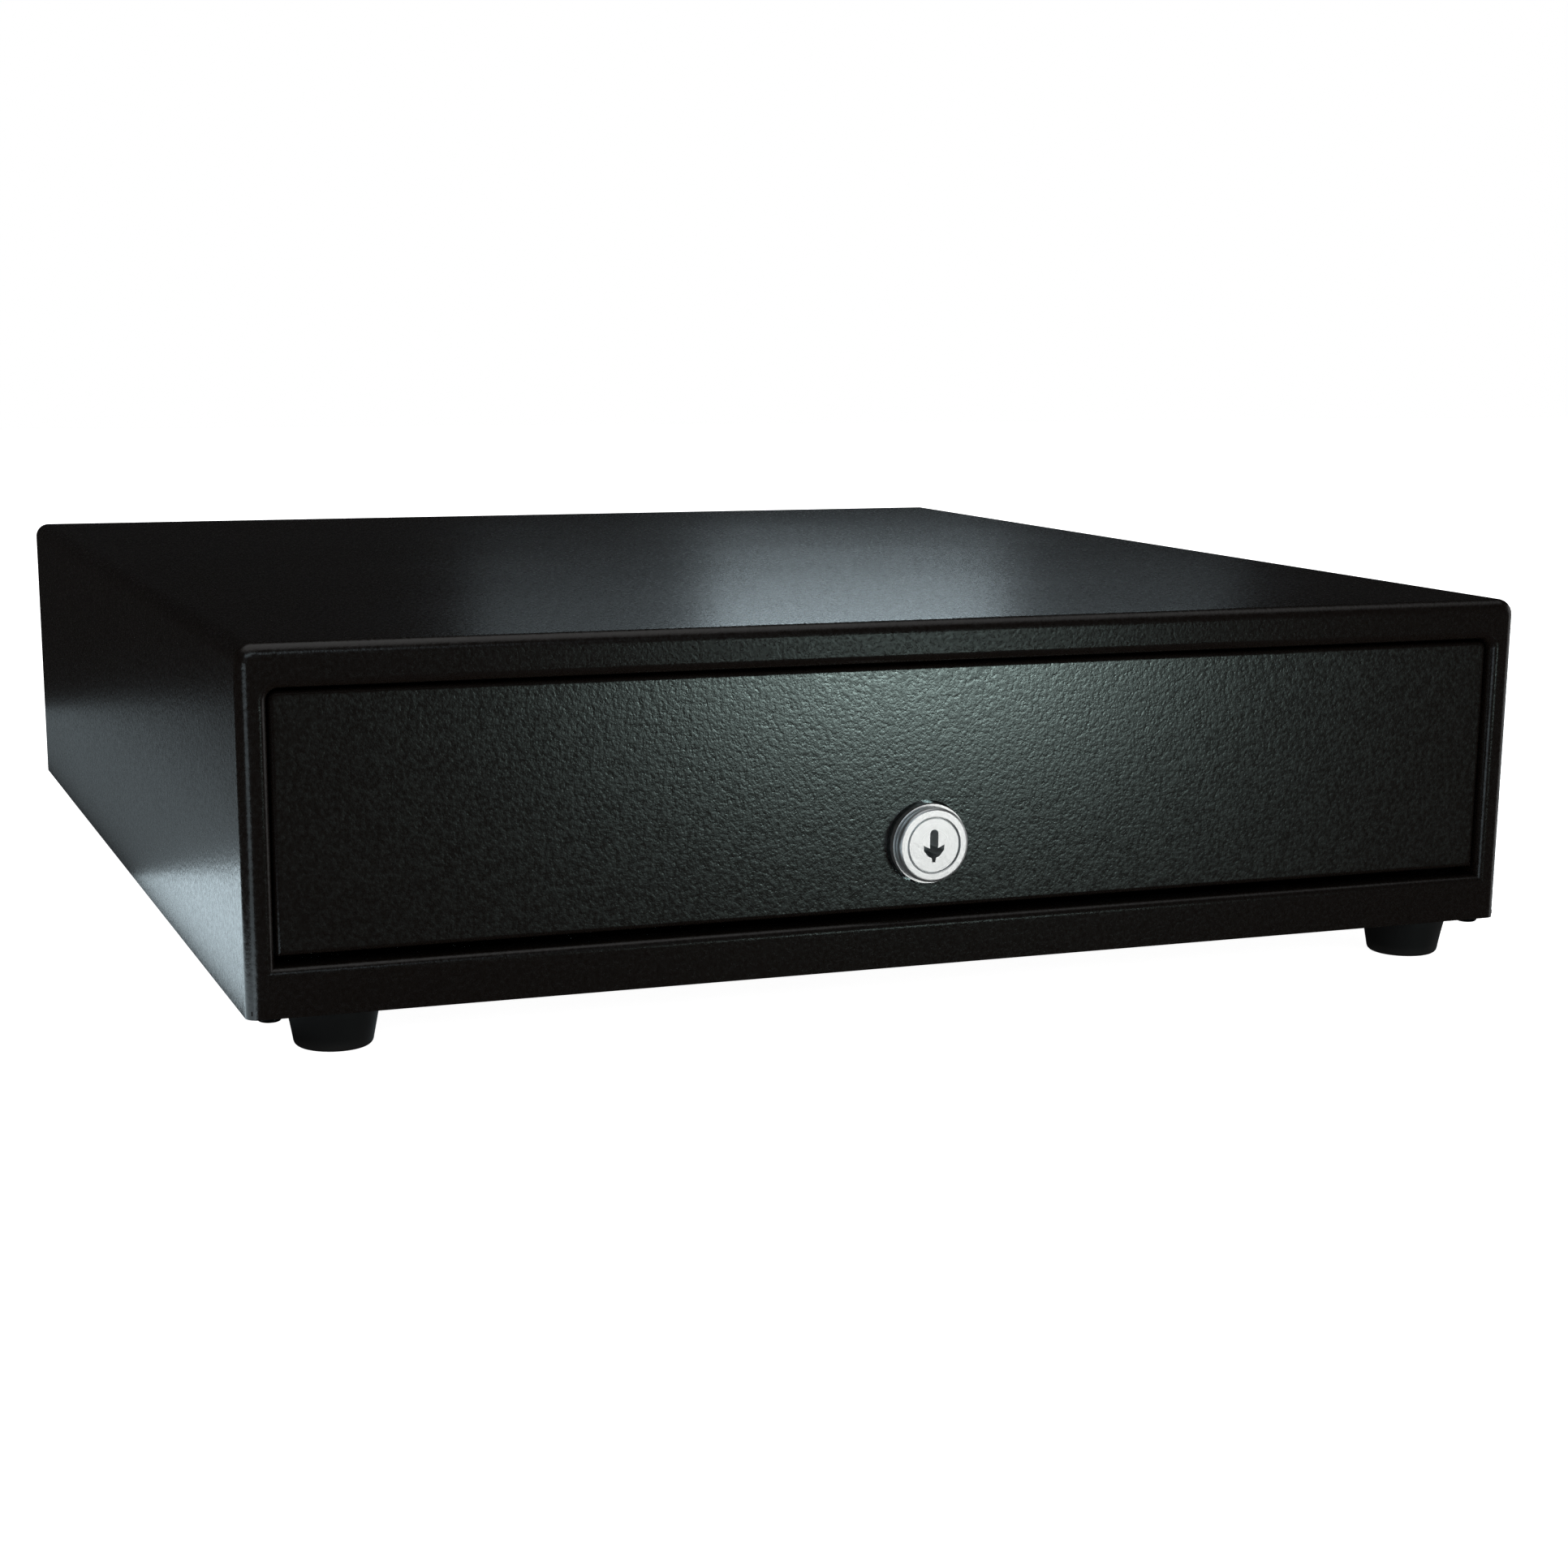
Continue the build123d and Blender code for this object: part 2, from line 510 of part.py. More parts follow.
# ---- lock_housing: chromed bezel of two rings, and the barrel behind it ----
LOCK_PLANE = Plane((0, BEZEL_FRONT, LOCK_Z), x_dir=(1, 0, 0), z_dir=(0, -1, 0))
RING, GROOVE, FLANGE_END = 2.4, 0.6, 5.6
BRACKET_DEPTH = BRACKET_Y - BEZEL_FRONT
BARREL_END = PLUG_END - BEZEL_FRONT - 1.0
with BuildPart() as lock_housing:
    # front ring
    with BuildSketch(LOCK_PLANE.offset(-RING)):
        Circle(BEZEL_R)
    extrude(amount=RING)
    fillet(lock_housing.faces().sort_by(Axis.Y)[0].edges(), 0.9)
    # groove
    with BuildSketch(LOCK_PLANE.offset(-RING - GROOVE)):
        Circle(BEZEL_R - 0.7)
    extrude(amount=GROOVE)
    # second ring, a little larger
    with BuildSketch(LOCK_PLANE.offset(-FLANGE_END)):
        Circle(FLANGE_R)
    extrude(amount=FLANGE_END - RING - GROOVE)
    fillet(lock_housing.faces().filter_by(Plane.XZ).group_by(Axis.Y)[-1].edges(), 0.5)
    # neck through the drawer face, and the barrel behind the bracket
    with BuildSketch(LOCK_PLANE.offset(-BRACKET_DEPTH)):
        Circle(NECK_R)
    extrude(amount=BRACKET_DEPTH - FLANGE_END)
    with BuildSketch(LOCK_PLANE.offset(-BARREL_END)):
        Circle(BARREL_R)
    extrude(amount=BARREL_END - BRACKET_DEPTH)
    with BuildSketch(LOCK_PLANE):
        Circle(PLUG_BORE_R)
    extrude(amount=-40, mode=Mode.SUBTRACT)
    chamfer(lock_housing.faces().sort_by(Axis.Y)[0].edges().sort_by(SortBy.LENGTH)[0], 0.3)
lock_housing.part.label = "lock_housing"
export_step(lock_housing.part, "parts/lock_housing.step")

# ---- lock_nut behind the bracket ----
NUT_Y = BRACKET_Y + BRACKET_SHEET
with BuildPart() as lock_nut:
    with BuildSketch(Plane.XZ.offset(-NUT_Y)):
        with Locations((0, LOCK_Z)):
            RegularPolygon(12.8, 6)
            Circle(BARREL_R + 0.05, mode=Mode.SUBTRACT)
    extrude(amount=-3.5)
    chamfer(lock_nut.faces().sort_by(Axis.Y)[-1].outer_wire().edges(), 0.5)
lock_nut.part.label = "lock_nut"
export_step(lock_nut.part, "parts/lock_nut.step")

# ---- lock_plug: turning core with its keyway, a slot with a barbed lower half ----
with BuildPart() as lock_plug:
    with BuildSketch(LOCK_PLANE.offset(-PLUG_SUNK)):
        Circle(PLUG_R)
    extrude(amount=-(PLUG_END - BEZEL_FRONT - PLUG_SUNK))
    chamfer(lock_plug.faces().sort_by(Axis.Y)[0].edges(), 0.3)
    with BuildSketch(LOCK_PLANE) as keyway:
        with Locations((0, 0.5)):
            SlotOverall(8.4, 2.6, rotation=90)
        with BuildLine():
            Polyline((-1.2, -0.9), (-3.3, 0.1), (-3.2, -1.5), (-1.8, -3.2), (-0.7, -3.7), (-0.5, -5.0),
                     (0.5, -5.0), (0.7, -3.7), (1.8, -3.2), (3.2, -1.5), (3.3, 0.1), (1.2, -0.9),
                     close=True)
        make_face()
    extrude(amount=-14, mode=Mode.SUBTRACT)
    with BuildSketch(LOCK_PLANE.offset(-(PLUG_END - BEZEL_FRONT))):
        Rectangle(2 * TAIL_HALF, 2 * TAIL_HALF)
    extrude(amount=-CAM_SHEET - 0.3)
lock_plug.part.label = "lock_plug"
export_step(lock_plug.part, "parts/lock_plug.step")

# ---- lock_cam: lies level when unlocked and turns down behind the front frame ----
CAM_Y = PLUG_END + 0.2
with BuildPart() as lock_cam:
    with BuildSketch(Plane.XZ.offset(-CAM_Y)):
        with Locations((0, LOCK_Z)):
            Circle(8.0)
        with Locations((CAM_LENGTH / 2, LOCK_Z)):
            Rectangle(CAM_LENGTH, 2 * CAM_HALF_WIDTH)
        with Locations((0, LOCK_Z)):
            Rectangle(2 * TAIL_HALF + 0.1, 2 * TAIL_HALF + 0.1, mode=Mode.SUBTRACT)
    extrude(amount=-CAM_SHEET)
    fillet(lock_cam.edges().filter_by(Axis.Y).group_by(Axis.X)[-1], 2.5)
lock_cam.part.label = "lock_cam"
export_step(lock_cam.part, "parts/lock_cam.step")

# ---- cam_screw holds the cam on the plug ----
CAM_SCREW_Y = PLUG_END + CAM_SHEET + 0.3
with BuildPart() as cam_screw:
    with BuildSketch(Plane.XZ.offset(-CAM_SCREW_Y)):
        with Locations((0, LOCK_Z)):
            Circle(5.0)
    extrude(amount=-2.0)
    fillet(cam_screw.faces().sort_by(Axis.Y)[-1].edges(), 1.2)
    with Locations((0, CAM_SCREW_Y + 2.0, LOCK_Z)):
        Box(6.0, 2.0, 0.9, mode=Mode.SUBTRACT)
        Box(0.9, 2.0, 6.0, mode=Mode.SUBTRACT)
cam_screw.part.label = "cam_screw"
export_step(cam_screw.part, "parts/cam_screw.step")

# ---- latch_striker: the bar on the back of the pan that the hook catches ----
with BuildPart() as latch_striker:
    with BuildSketch(Plane.XZ.offset(-PAN_BACK)) as plate:
        with Locations((0, 49.0)):
            Rectangle(30.0, 40.0)
        fillet(plate.vertices(), 3.0)
    extrude(amount=-1.5)
    for z in (38.0, 58.0):
        with BuildSketch(Plane.XY.offset(z)):
            with Locations((0, (PAN_BACK + STRIKER_Y) / 2)):
                Rectangle(12.0, STRIKER_Y - PAN_BACK)
            with Locations((0, STRIKER_Y)):
                Circle(6.0)
        extrude(amount=2.0)
    with BuildSketch(Plane.XY.offset(39.0)):
        with Locations((0, STRIKER_Y)):
            Circle(STRIKER_R)
    extrude(amount=20.0)
latch_striker.part.label = "latch_striker"
export_step(latch_striker.part, "parts/latch_striker.step")

# ---- till_tray: moulded insert that hangs by its rim, with note bays at the back ----
with BuildPart() as till_tray:
    with BuildSketch(Plane.XY.offset(TILL_Z0)) as body:
        with Locations((0, (TILL_FRONT + TILL_BACK) / 2)):
            RectangleRounded(2 * TILL_HALF, TILL_BACK - TILL_FRONT, 5.0)
    extrude(amount=TILL_Z1 - TILL_Z0)
    with BuildSketch(Plane.XY.offset(PAN_Z1 + 0.1)):
        with Locations((0, (PAN_WALL + PAN_BACK) / 2)):
            RectangleRounded(2 * PAN_HALF, PAN_BACK - PAN_WALL, 4.0)
    extrude(amount=TILL_Z1 - PAN_Z1 - 0.1)
    # note bays
    with BuildSketch(Plane.XY.offset(TILL_Z0 + TILL_WALL)):
        for x in bay_xs:
            with Locations((x, (BAY_FRONT + TILL_BACK - TILL_WALL) / 2)):
                RectangleRounded(bay_width, TILL_BACK - TILL_WALL - BAY_FRONT, 4.0)
    extrude(amount=60, mode=Mode.SUBTRACT)
    # the well that the coin tray drops into
    with BuildSketch(Plane.XY.offset(TILL_Z0 + TILL_WALL)):
        with Locations((0, (TILL_FRONT + BAY_FRONT) / 2)):
            RectangleRounded(2 * (TILL_HALF - TILL_WALL), BAY_FRONT - TILL_FRONT - 2 * TILL_WALL, 4.0)
    extrude(amount=60, mode=Mode.SUBTRACT)
    # thumb scoops in the dividers between the bays
    with BuildSketch(Plane.YZ.offset(-TILL_HALF + 20)):
        with Locations((20.0, TILL_Z1)):
            Ellipse(38.0, 22.0)
    extrude(amount=2 * TILL_HALF - 40, mode=Mode.SUBTRACT)
    # hinge ears for the note clips
    for x in bay_xs:
        for side in (-1, 1):
            with BuildSketch(Plane.YZ.offset(x + side * (CLIP_EAR + 1.5) - 1.5)):
                with BuildLine():
                    Polyline(
                        (CLIP_Y - 5.0, CLIP_Z),
                        (CLIP_Y - 5.0, CLIP_Z + 5.0),
                        (TILL_BACK - 1.0, CLIP_Z + 5.0),
                        (TILL_BACK - 1.0, CLIP_Z - 24.0),
                        close=True,
                    )
                make_face()
                with Locations((CLIP_Y, CLIP_Z)):
                    Circle(CLIP_PIN_R + 0.03, mode=Mode.SUBTRACT)
            extrude(amount=3.0)
till_tray.part.label = "till_tray"
export_step(till_tray.part, "parts/till_tray.step")

# ---- coin_tray: lifts out of the till; eight cups with scooped floors ----
TRAY_HALF = TILL_HALF - TILL_WALL - 0.6
TRAY_Y0 = TILL_FRONT + TILL_WALL + 0.6
TRAY_Y1 = BAY_FRONT - TILL_WALL - 0.6
TRAY_Z0 = TILL_Z0 + TILL_WALL
TRAY_Z1 = TILL_Z1 - 3.0
CUP_WALL = 2.0
cup_x = (2 * TRAY_HALF - (CUP_COLUMNS + 1) * CUP_WALL) / CUP_COLUMNS
cup_y = (TRAY_Y1 - TRAY_Y0 - (CUP_ROWS + 1) * CUP_WALL) / CUP_ROWS
with BuildPart() as coin_tray:
    with BuildSketch(Plane.XY.offset(TRAY_Z0)):
        with Locations((0, (TRAY_Y0 + TRAY_Y1) / 2)):
            RectangleRounded(2 * TRAY_HALF, TRAY_Y1 - TRAY_Y0, 3.5)
    extrude(amount=TRAY_Z1 - TRAY_Z0)
    # each column of cups is cut with a rounded trough, then each cup with straight upper walls
    for row in range(CUP_ROWS):
        middle = TRAY_Y0 + CUP_WALL + cup_y / 2 + row * (cup_y + CUP_WALL)
        for column in range(CUP_COLUMNS):
            x = -TRAY_HALF + CUP_WALL + cup_x / 2 + column * (cup_x + CUP_WALL)
            with BuildSketch(Plane.YZ.offset(x - cup_x / 2)) as cup:
                with Locations((middle, TRAY_Z0 + 2.0)):
                    Rectangle(cup_y, TRAY_Z1, align=(Align.CENTER, Align.MIN))
                fillet(cup.vertices().group_by(Axis.Y)[0], 24.0)
            extrude(amount=cup_x, mode=Mode.SUBTRACT)
coin_tray.part.label = "coin_tray"
export_step(coin_tray.part, "parts/coin_tray.step")

# ---- note clips, one to a bay, each on its pin ----
for number, x in enumerate(bay_xs, start=1):
    with BuildPart() as note_clip:
        with BuildSketch(Plane.YZ.offset(x - CLIP_EAR + 0.6)) as arm:
            with BuildLine():
                Polyline(
                    (CLIP_Y, CLIP_Z + 3.4),
                    (CLIP_Y - CLIP_LENGTH + 14, CLIP_Z + 0.6),
                    (CLIP_Y - CLIP_LENGTH + 5, CLIP_Z - 3.0),
                    (CLIP_Y - CLIP_LENGTH, CLIP_Z + 0.4),
                    (CLIP_Y - CLIP_LENGTH, CLIP_Z - 2.0),
                    (CLIP_Y - CLIP_LENGTH + 5, CLIP_Z - 5.6),
                    (CLIP_Y - CLIP_LENGTH + 16, CLIP_Z - 2.0),
                    (CLIP_Y, CLIP_Z - 1.0),
                    close=True,
                )
            make_face()
            with Locations((CLIP_Y, CLIP_Z)):
                Circle(3.6)
                Circle(CLIP_PIN_R + 0.08, mode=Mode.SUBTRACT)
        extrude(amount=19.4)
        # the arm is wider past the hinge
        with BuildSketch(Plane.YZ.offset(x - 13.0)):
            with BuildLine():
                Polyline(
                    (CLIP_Y - 12.0, CLIP_Z + 3.0),
                    (CLIP_Y - CLIP_LENGTH + 14, CLIP_Z + 0.6),
                    (CLIP_Y - CLIP_LENGTH + 5, CLIP_Z - 3.0),
                    (CLIP_Y - CLIP_LENGTH, CLIP_Z + 0.4),
                    (CLIP_Y - CLIP_LENGTH, CLIP_Z - 2.0),
                    (CLIP_Y - CLIP_LENGTH + 5, CLIP_Z - 5.6),
                    (CLIP_Y - CLIP_LENGTH + 16, CLIP_Z - 2.0),
                    (CLIP_Y - 12.0, CLIP_Z - 1.2),
                    close=True,
                )
            make_face()
        extrude(amount=26.0)
    rested = note_clip.part.rotate(Axis((0, CLIP_Y, CLIP_Z), (1, 0, 0)), CLIP_REST)
    rested.label = f"note_clip_{number}"
    export_step(rested, f"parts/note_clip_{number}.step")

with BuildPart() as clip_pins:
    for x in bay_xs:
        with BuildSketch(Plane.YZ.offset(x - CLIP_EAR - 3.0)):
            with Locations((CLIP_Y, CLIP_Z)):
                Circle(CLIP_PIN_R)
        extrude(amount=2 * CLIP_EAR + 6.0)
clip_pins.part.label = "clip_pins"
export_step(clip_pins.part, "parts/clip_pins.step")

# ---- clip_springs: a torsion spring on each pin, beside the clip's barrel ----
clip_coil = coil_spring(2.5, 0.4, 5, 8.0)
with BuildPart() as clip_springs:
    with Locations(*[Plane((x + 5.8, CLIP_Y, CLIP_Z), z_dir=(1, 0, 0)) for x in bay_xs]):
        add(clip_coil)
clip_springs.part.label = "clip_springs"
export_step(clip_springs.part, "parts/clip_springs.step")

# ================= latch, solenoid, switch and board =================

# ---- latch_frame: foot, riser and shelf; the shelf carries the hook and the solenoid ----
with BuildPart() as latch_frame:
    with BuildSketch(Plane.YZ.offset(-70.0)):
        with BuildLine():
            Polyline(
                (180.0, FLOOR_Z),
                (218.0, FLOOR_Z),
                (218.0, SHELF_Z),
                (172.0, SHELF_Z),
                (172.0, SHELF_Z - 2),
                (216.0, SHELF_Z - 2),
                (216.0, FLOOR_Z + 2),
                (180.0, FLOOR_Z + 2),
                close=True,
            )
        make_face()
    extrude(amount=112.0)
    with BuildSketch(Plane.XY.offset(SHELF_Z - 3)):
        with Locations(HOOK_PIVOT):
            Circle(2.5)
    extrude(amount=4.0, mode=Mode.SUBTRACT)
    # post for the return spring
    with BuildSketch(Plane.XY.offset(SHELF_Z)):
        with Locations((37.0, PLUNGER_Y)):
            Circle(2.0)
    extrude(amount=9.0)
latch_frame.part.label = "latch_frame"
export_step(latch_frame.part, "parts/latch_frame.step")

# ---- latch_pin with its shoulder and head ----
with BuildPart() as latch_pin:
    with BuildSketch(Plane.XY.offset(SHELF_Z - 3)):
        with Locations(HOOK_PIVOT):
            Circle(2.5)
    extrude(amount=HOOK_Z1 + 1.5 - SHELF_Z + 3)
    with BuildSketch(Plane.XY.offset(HOOK_Z1 + 0.3)):
        with Locations(HOOK_PIVOT):
            Circle(4.5)
    extrude(amount=1.2)
    with BuildSketch(Plane.XY.offset(SHELF_Z)):
        with Locations(HOOK_PIVOT):
            Circle(5.0)
    extrude(amount=HOOK_Z0 - SHELF_Z - 0.3)
latch_pin.part.label = "latch_pin"
export_step(latch_pin.part, "parts/latch_pin.step")

# ---- latch_hook: drawn where it holds the striker, then swung clear of it ----
px, py = HOOK_PIVOT
tail_x = px + HOOK_TAIL * sin(radians(HOOK_SWING / 2))
tail_y = py + HOOK_TAIL * cos(radians(HOOK_SWING / 2))
with BuildPart() as hook_closed:
    with BuildSketch(Plane.XY.offset(HOOK_Z0)) as profile:
        with BuildLine():
            Polyline(
                (px - 5.0, py - 8.0),
                (4.0, STRIKER_Y + 8.0),
                (4.0, 156.6),
                (-4.0, 156.6),
                (-4.0, 154.6),
                (-1.0, 153.0),
                (10.0, 153.0),
                (11.0, 164.0),
                (px + 7.0, py - 4.0),
                close=True,
            )
        make_face()
        with Locations(HOOK_PIVOT):
            Circle(8.0)
        with BuildLine():
            Polyline(
                (px - 4.5, py),
                (px + 4.5, py),
                (tail_x + 4.0, tail_y),
                (tail_x - 4.0, tail_y),
                close=True,
            )
        make_face()
        with Locations((tail_x, tail_y)):
            Circle(4.0)
        with Locations(HOOK_PIVOT):
            Circle(2.58, mode=Mode.SUBTRACT)
        with Locations((tail_x, tail_y)):
            SlotCenterToCenter(1.2, 3.9, rotation=90 - HOOK_SWING / 2, mode=Mode.SUBTRACT)
    extrude(amount=HOOK_Z1 - HOOK_Z0)
latch_hook = hook_closed.part.rotate(Axis((px, py, 0), (0, 0, 1)), HOOK_SWING)
latch_hook.label = "latch_hook"
export_step(latch_hook, "parts/latch_hook.step")

# ---- latch_spring pulls the hook's tail towards the striker side ----
latch_coil = coil_spring(2.8, 0.4, 9, 18.0)
with BuildPart() as latch_spring:
    with Locations(Plane((15.0, PLUNGER_Y, 49.0), z_dir=(1, 0, 0))):
        add(latch_coil)
latch_spring.part.label = "latch_spring"
export_step(latch_spring.part, "parts/latch_spring.step")

# ---- solenoid: a U frame round the coil, and the plunger that pulls the hook ----
COIL_X0, COIL_X1 = -62.0, -24.0
with BuildPart() as solenoid_frame:
    with BuildSketch(Plane.XZ.offset(-(PLUNGER_Y - 10.0))):
        with BuildLine():
            Polyline(
                (COIL_X0 - 2, SHELF_Z),
                (COIL_X1 + 2, SHELF_Z),
                (COIL_X1 + 2, PLUNGER_Z + 12),
                (COIL_X1, PLUNGER_Z + 12),
                (COIL_X1, SHELF_Z + 2),
                (COIL_X0, SHELF_Z + 2),
                (COIL_X0, PLUNGER_Z + 12),
                (COIL_X0 - 2, PLUNGER_Z + 12),
                close=True,
            )
        make_face()
    extrude(amount=-20.0)
    with BuildSketch(Plane.YZ.offset(COIL_X1 - 1)):
        with Locations((PLUNGER_Y, PLUNGER_Z)):
            Circle(PLUNGER_R + 0.4)
    extrude(amount=4.0, mode=Mode.SUBTRACT)
solenoid_frame.part.label = "solenoid_frame"
export_step(solenoid_frame.part, "parts/solenoid_frame.step")

with BuildPart() as solenoid_coil:
    with BuildSketch(Plane.YZ.offset(COIL_X0)):
        with Locations((PLUNGER_Y, PLUNGER_Z)):
            Circle(9.8)
            Circle(PLUNGER_R + 0.1, mode=Mode.SUBTRACT)
    extrude(amount=COIL_X1 - COIL_X0)
    # winding between the two bobbin cheeks
    with BuildSketch(Plane.YZ.offset(COIL_X0 + 2)):
        with Locations((PLUNGER_Y, PLUNGER_Z)):
            Circle(11)
            Circle(9.0, mode=Mode.SUBTRACT)
    extrude(amount=COIL_X1 - COIL_X0 - 4, mode=Mode.SUBTRACT)
solenoid_coil.part.label = "solenoid_coil"
export_step(solenoid_coil.part, "parts/solenoid_coil.step")

PIN_X = px - HOOK_TAIL * sin(radians(HOOK_SWING / 2))
with BuildPart() as solenoid_plunger:
    with BuildSketch(Plane.YZ.offset(COIL_X0 + 6)):
        with Locations((PLUNGER_Y, PLUNGER_Z)):
            Circle(PLUNGER_R)
    extrude(amount=PIN_X + 4.5 - COIL_X0 - 6)
    chamfer(solenoid_plunger.faces().sort_by(Axis.X)[-1].edges(), 0.8)
    with BuildSketch(Plane.XY.offset(PLUNGER_Z - 8)):
        with Locations((PIN_X, PLUNGER_Y)):
            Circle(1.52)
    extrude(amount=16, mode=Mode.SUBTRACT)
solenoid_plunger.part.label = "solenoid_plunger"
export_step(solenoid_plunger.part, "parts/solenoid_plunger.step")

with BuildPart() as plunger_pin:
    with BuildSketch(Plane.XY.offset(46.5)):
        with Locations((PIN_X, PLUNGER_Y)):
            Circle(1.5)
    extrude(amount=PLUNGER_Z + 6 - 46.5)
plunger_pin.part.label = "plunger_pin"
export_step(plunger_pin.part, "parts/plunger_pin.step")

# ---- kick spring on its bracket: it throws the drawer out when the hook lets go ----
KICK_X, KICK_Z = 80.0, 50.0
with BuildPart() as spring_bracket:
    with BuildSketch(Plane.YZ.offset(KICK_X - 16.0)):
        with BuildLine():
            Polyline(
                (180.0, FLOOR_Z), (207.0, FLOOR_Z), (207.0, 66.0), (205.0, 66.0),
                (205.0, FLOOR_Z + 2), (180.0, FLOOR_Z + 2),
                close=True,
            )
        make_face()
    extrude(amount=32.0)
    with BuildSketch(Plane.XZ.offset(-205.0)):
        with Locations((KICK_X, KICK_Z)):
            Circle(6.0)
    extrude(amount=30.0)
    fillet(spring_bracket.faces().sort_by(Axis.Y)[0].edges(), 2.0)
spring_bracket.part.label = "spring_bracket"
export_step(spring_bracket.part, "parts/spring_bracket.step")

kick_coil = coil_spring(8.6, 0.8, 10, 51.6)
with BuildPart() as kick_spring:
    with Locations(Plane((KICK_X, 203.6, KICK_Z), z_dir=(0, -1, 0))):
        add(kick_coil)
kick_spring.part.label = "kick_spring"
export_step(kick_spring.part, "parts/kick_spring.step")

# ---- drawer_switch on its bracket, with a button that the back of the pan presses ----
SWITCH_X, SWITCH_Z = -100.0, 50.0
with BuildPart() as switch_bracket:
    with BuildSketch(Plane.YZ.offset(SWITCH_X - 12.0)):
        with BuildLine():
            Polyline(
                (164.0, FLOOR_Z), (190.0, FLOOR_Z), (190.0, FLOOR_Z + SHEET),
                (165.2, FLOOR_Z + SHEET), (165.2, 62.0), (164.0, 62.0),
                close=True,
            )
        make_face()
    extrude(amount=24.0)
switch_bracket.part.label = "switch_bracket"
export_step(switch_bracket.part, "parts/switch_bracket.step")

with BuildPart() as drawer_switch:
    with BuildSketch(Plane.XZ.offset(-154.0)) as body:
        with Locations((SWITCH_X, SWITCH_Z)):
            RectangleRounded(20.0, 8.0, 0.8)
    extrude(amount=-10.0)
    with BuildSketch(Plane.XZ.offset(-153.0)):
        with Locations((SWITCH_X + 4, SWITCH_Z)):
            Rectangle(3.4, 3.4)
    extrude(amount=-7.0, mode=Mode.SUBTRACT)
drawer_switch.part.label = "drawer_switch"
export_step(drawer_switch.part, "parts/drawer_switch.step")

with BuildPart() as switch_button:
    with BuildSketch(Plane.XZ.offset(-150.6)):
        with Locations((SWITCH_X + 4, SWITCH_Z)):
            Rectangle(3.0, 3.0)
    extrude(amount=-7.0)
    fillet(switch_button.faces().sort_by(Axis.Y)[0].edges(), 0.5)
switch_button.part.label = "switch_button"
export_step(switch_button.part, "parts/switch_button.step")

# ---- circuit_board with its driver components, on four stand-offs ----
BOARD_Z = 26.0
BOARD_THICK = 1.6
board_holes = [(-148.0 + dx, 186.0 + dy) for dx in (-22.0, 22.0) for dy in (-22.0, 22.0)]
with BuildPart() as circuit_board:
    with BuildSketch(Plane.XY.offset(BOARD_Z)):
        with Locations((-148.0, 186.0)):
            RectangleRounded(52.0, 52.0, 2.0)
        with Locations(*board_holes):
            Circle(1.6, mode=Mode.SUBTRACT)
    extrude(amount=BOARD_THICK)
    with BuildSketch(Plane.XY.offset(BOARD_Z + BOARD_THICK)):
        with Locations((-160.0, 178.0)):
            Circle(5.0)
    extrude(amount=14.0)
    with BuildSketch(Plane.XY.offset(BOARD_Z + BOARD_THICK)):
        with Locations((-140.0, 180.0)):
            Rectangle(16.0, 10.0)
    extrude(amount=9.0)
    with BuildSketch(Plane.XY.offset(BOARD_Z + BOARD_THICK)):
        with Locations((-147.0, 168.0)):
            Rectangle(10.0, 6.0)
    extrude(amount=6.0)
circuit_board.part.label = "circuit_board"
export_step(circuit_board.part, "parts/circuit_board.step")

with BuildPart() as board_standoffs:
    with BuildSketch(Plane.XY.offset(FLOOR_Z)):
        with Locations(*board_holes):
            RegularPolygon(3.2, 6)
    extrude(amount=BOARD_Z - FLOOR_Z)
    with BuildSketch(Plane.XY.offset(BOARD_Z)):
        with Locations(*board_holes):
            Circle(1.5)
    extrude(amount=BOARD_THICK + 1.5)
board_standoffs.part.label = "board_standoffs"
export_step(board_standoffs.part, "parts/board_standoffs.step")

# ---- cable_jack: modular socket that shows through the rear panel ----
with BuildPart() as cable_jack:
    with BuildSketch(Plane.XZ.offset(-BACK + 18.0)):
        with Locations((JACK_X, JACK_Z)):
            Rectangle(13.4, 13.2)
    extrude(amount=-18.3)
    with BuildSketch(Plane.XZ.offset(-BACK + 14.0)):
        with Locations((JACK_X, JACK_Z - 0.6)):
            Rectangle(9.8, 6.8)
        with Locations((JACK_X, JACK_Z + 3.6)):
            Rectangle(4.6, 3.0)
    extrude(amount=-16.0, mode=Mode.SUBTRACT)
cable_jack.part.label = "cable_jack"
export_step(cable_jack.part, "parts/cable_jack.step")

# ---- solenoid_lead: the two-core lead from the coil to the board ----
LEAD_R = 1.3
lead_points = (
    (COIL_X0 - 2.2, 200.0, 62.0),
    (-78.0, 198.0, 61.0),
    (-92.0, 196.0, 52.0),
    (-104.0, 193.0, 42.0),
    (-118.0, 190.0, 37.0),
    (-130.5, 192.0, 34.0),
    (-131.0, 193.0, 28.0),
)
with BuildPart() as solenoid_lead:
    with BuildLine() as route:
        FilletPolyline(*lead_points, radius=[5.0, 7.0, 7.0, 6.0, 2.6])
    with BuildSketch(Plane(origin=route.line @ 0, z_dir=route.line % 0)):
        Circle(LEAD_R)
    sweep()
solenoid_lead.part.label = "solenoid_lead"
export_step(solenoid_lead.part, "parts/solenoid_lead.step")
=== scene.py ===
# %% [markdown]
# # A steel cash drawer, finished in Blender
# The imported model gives every part its place and its shape. This lesson gives the parts their
# finishes: powder coat, chrome, zinc, rubber and moulded plastic. It then adds the solenoid's
# winding, which is too fine for the mechanical model, and sets up a small studio.
# The frame is loaded first, and its box is kept: the soft boxes below are placed by it.

# %% Load the frame
import math

import bmesh
import bpy
from mathutils import Matrix, Vector


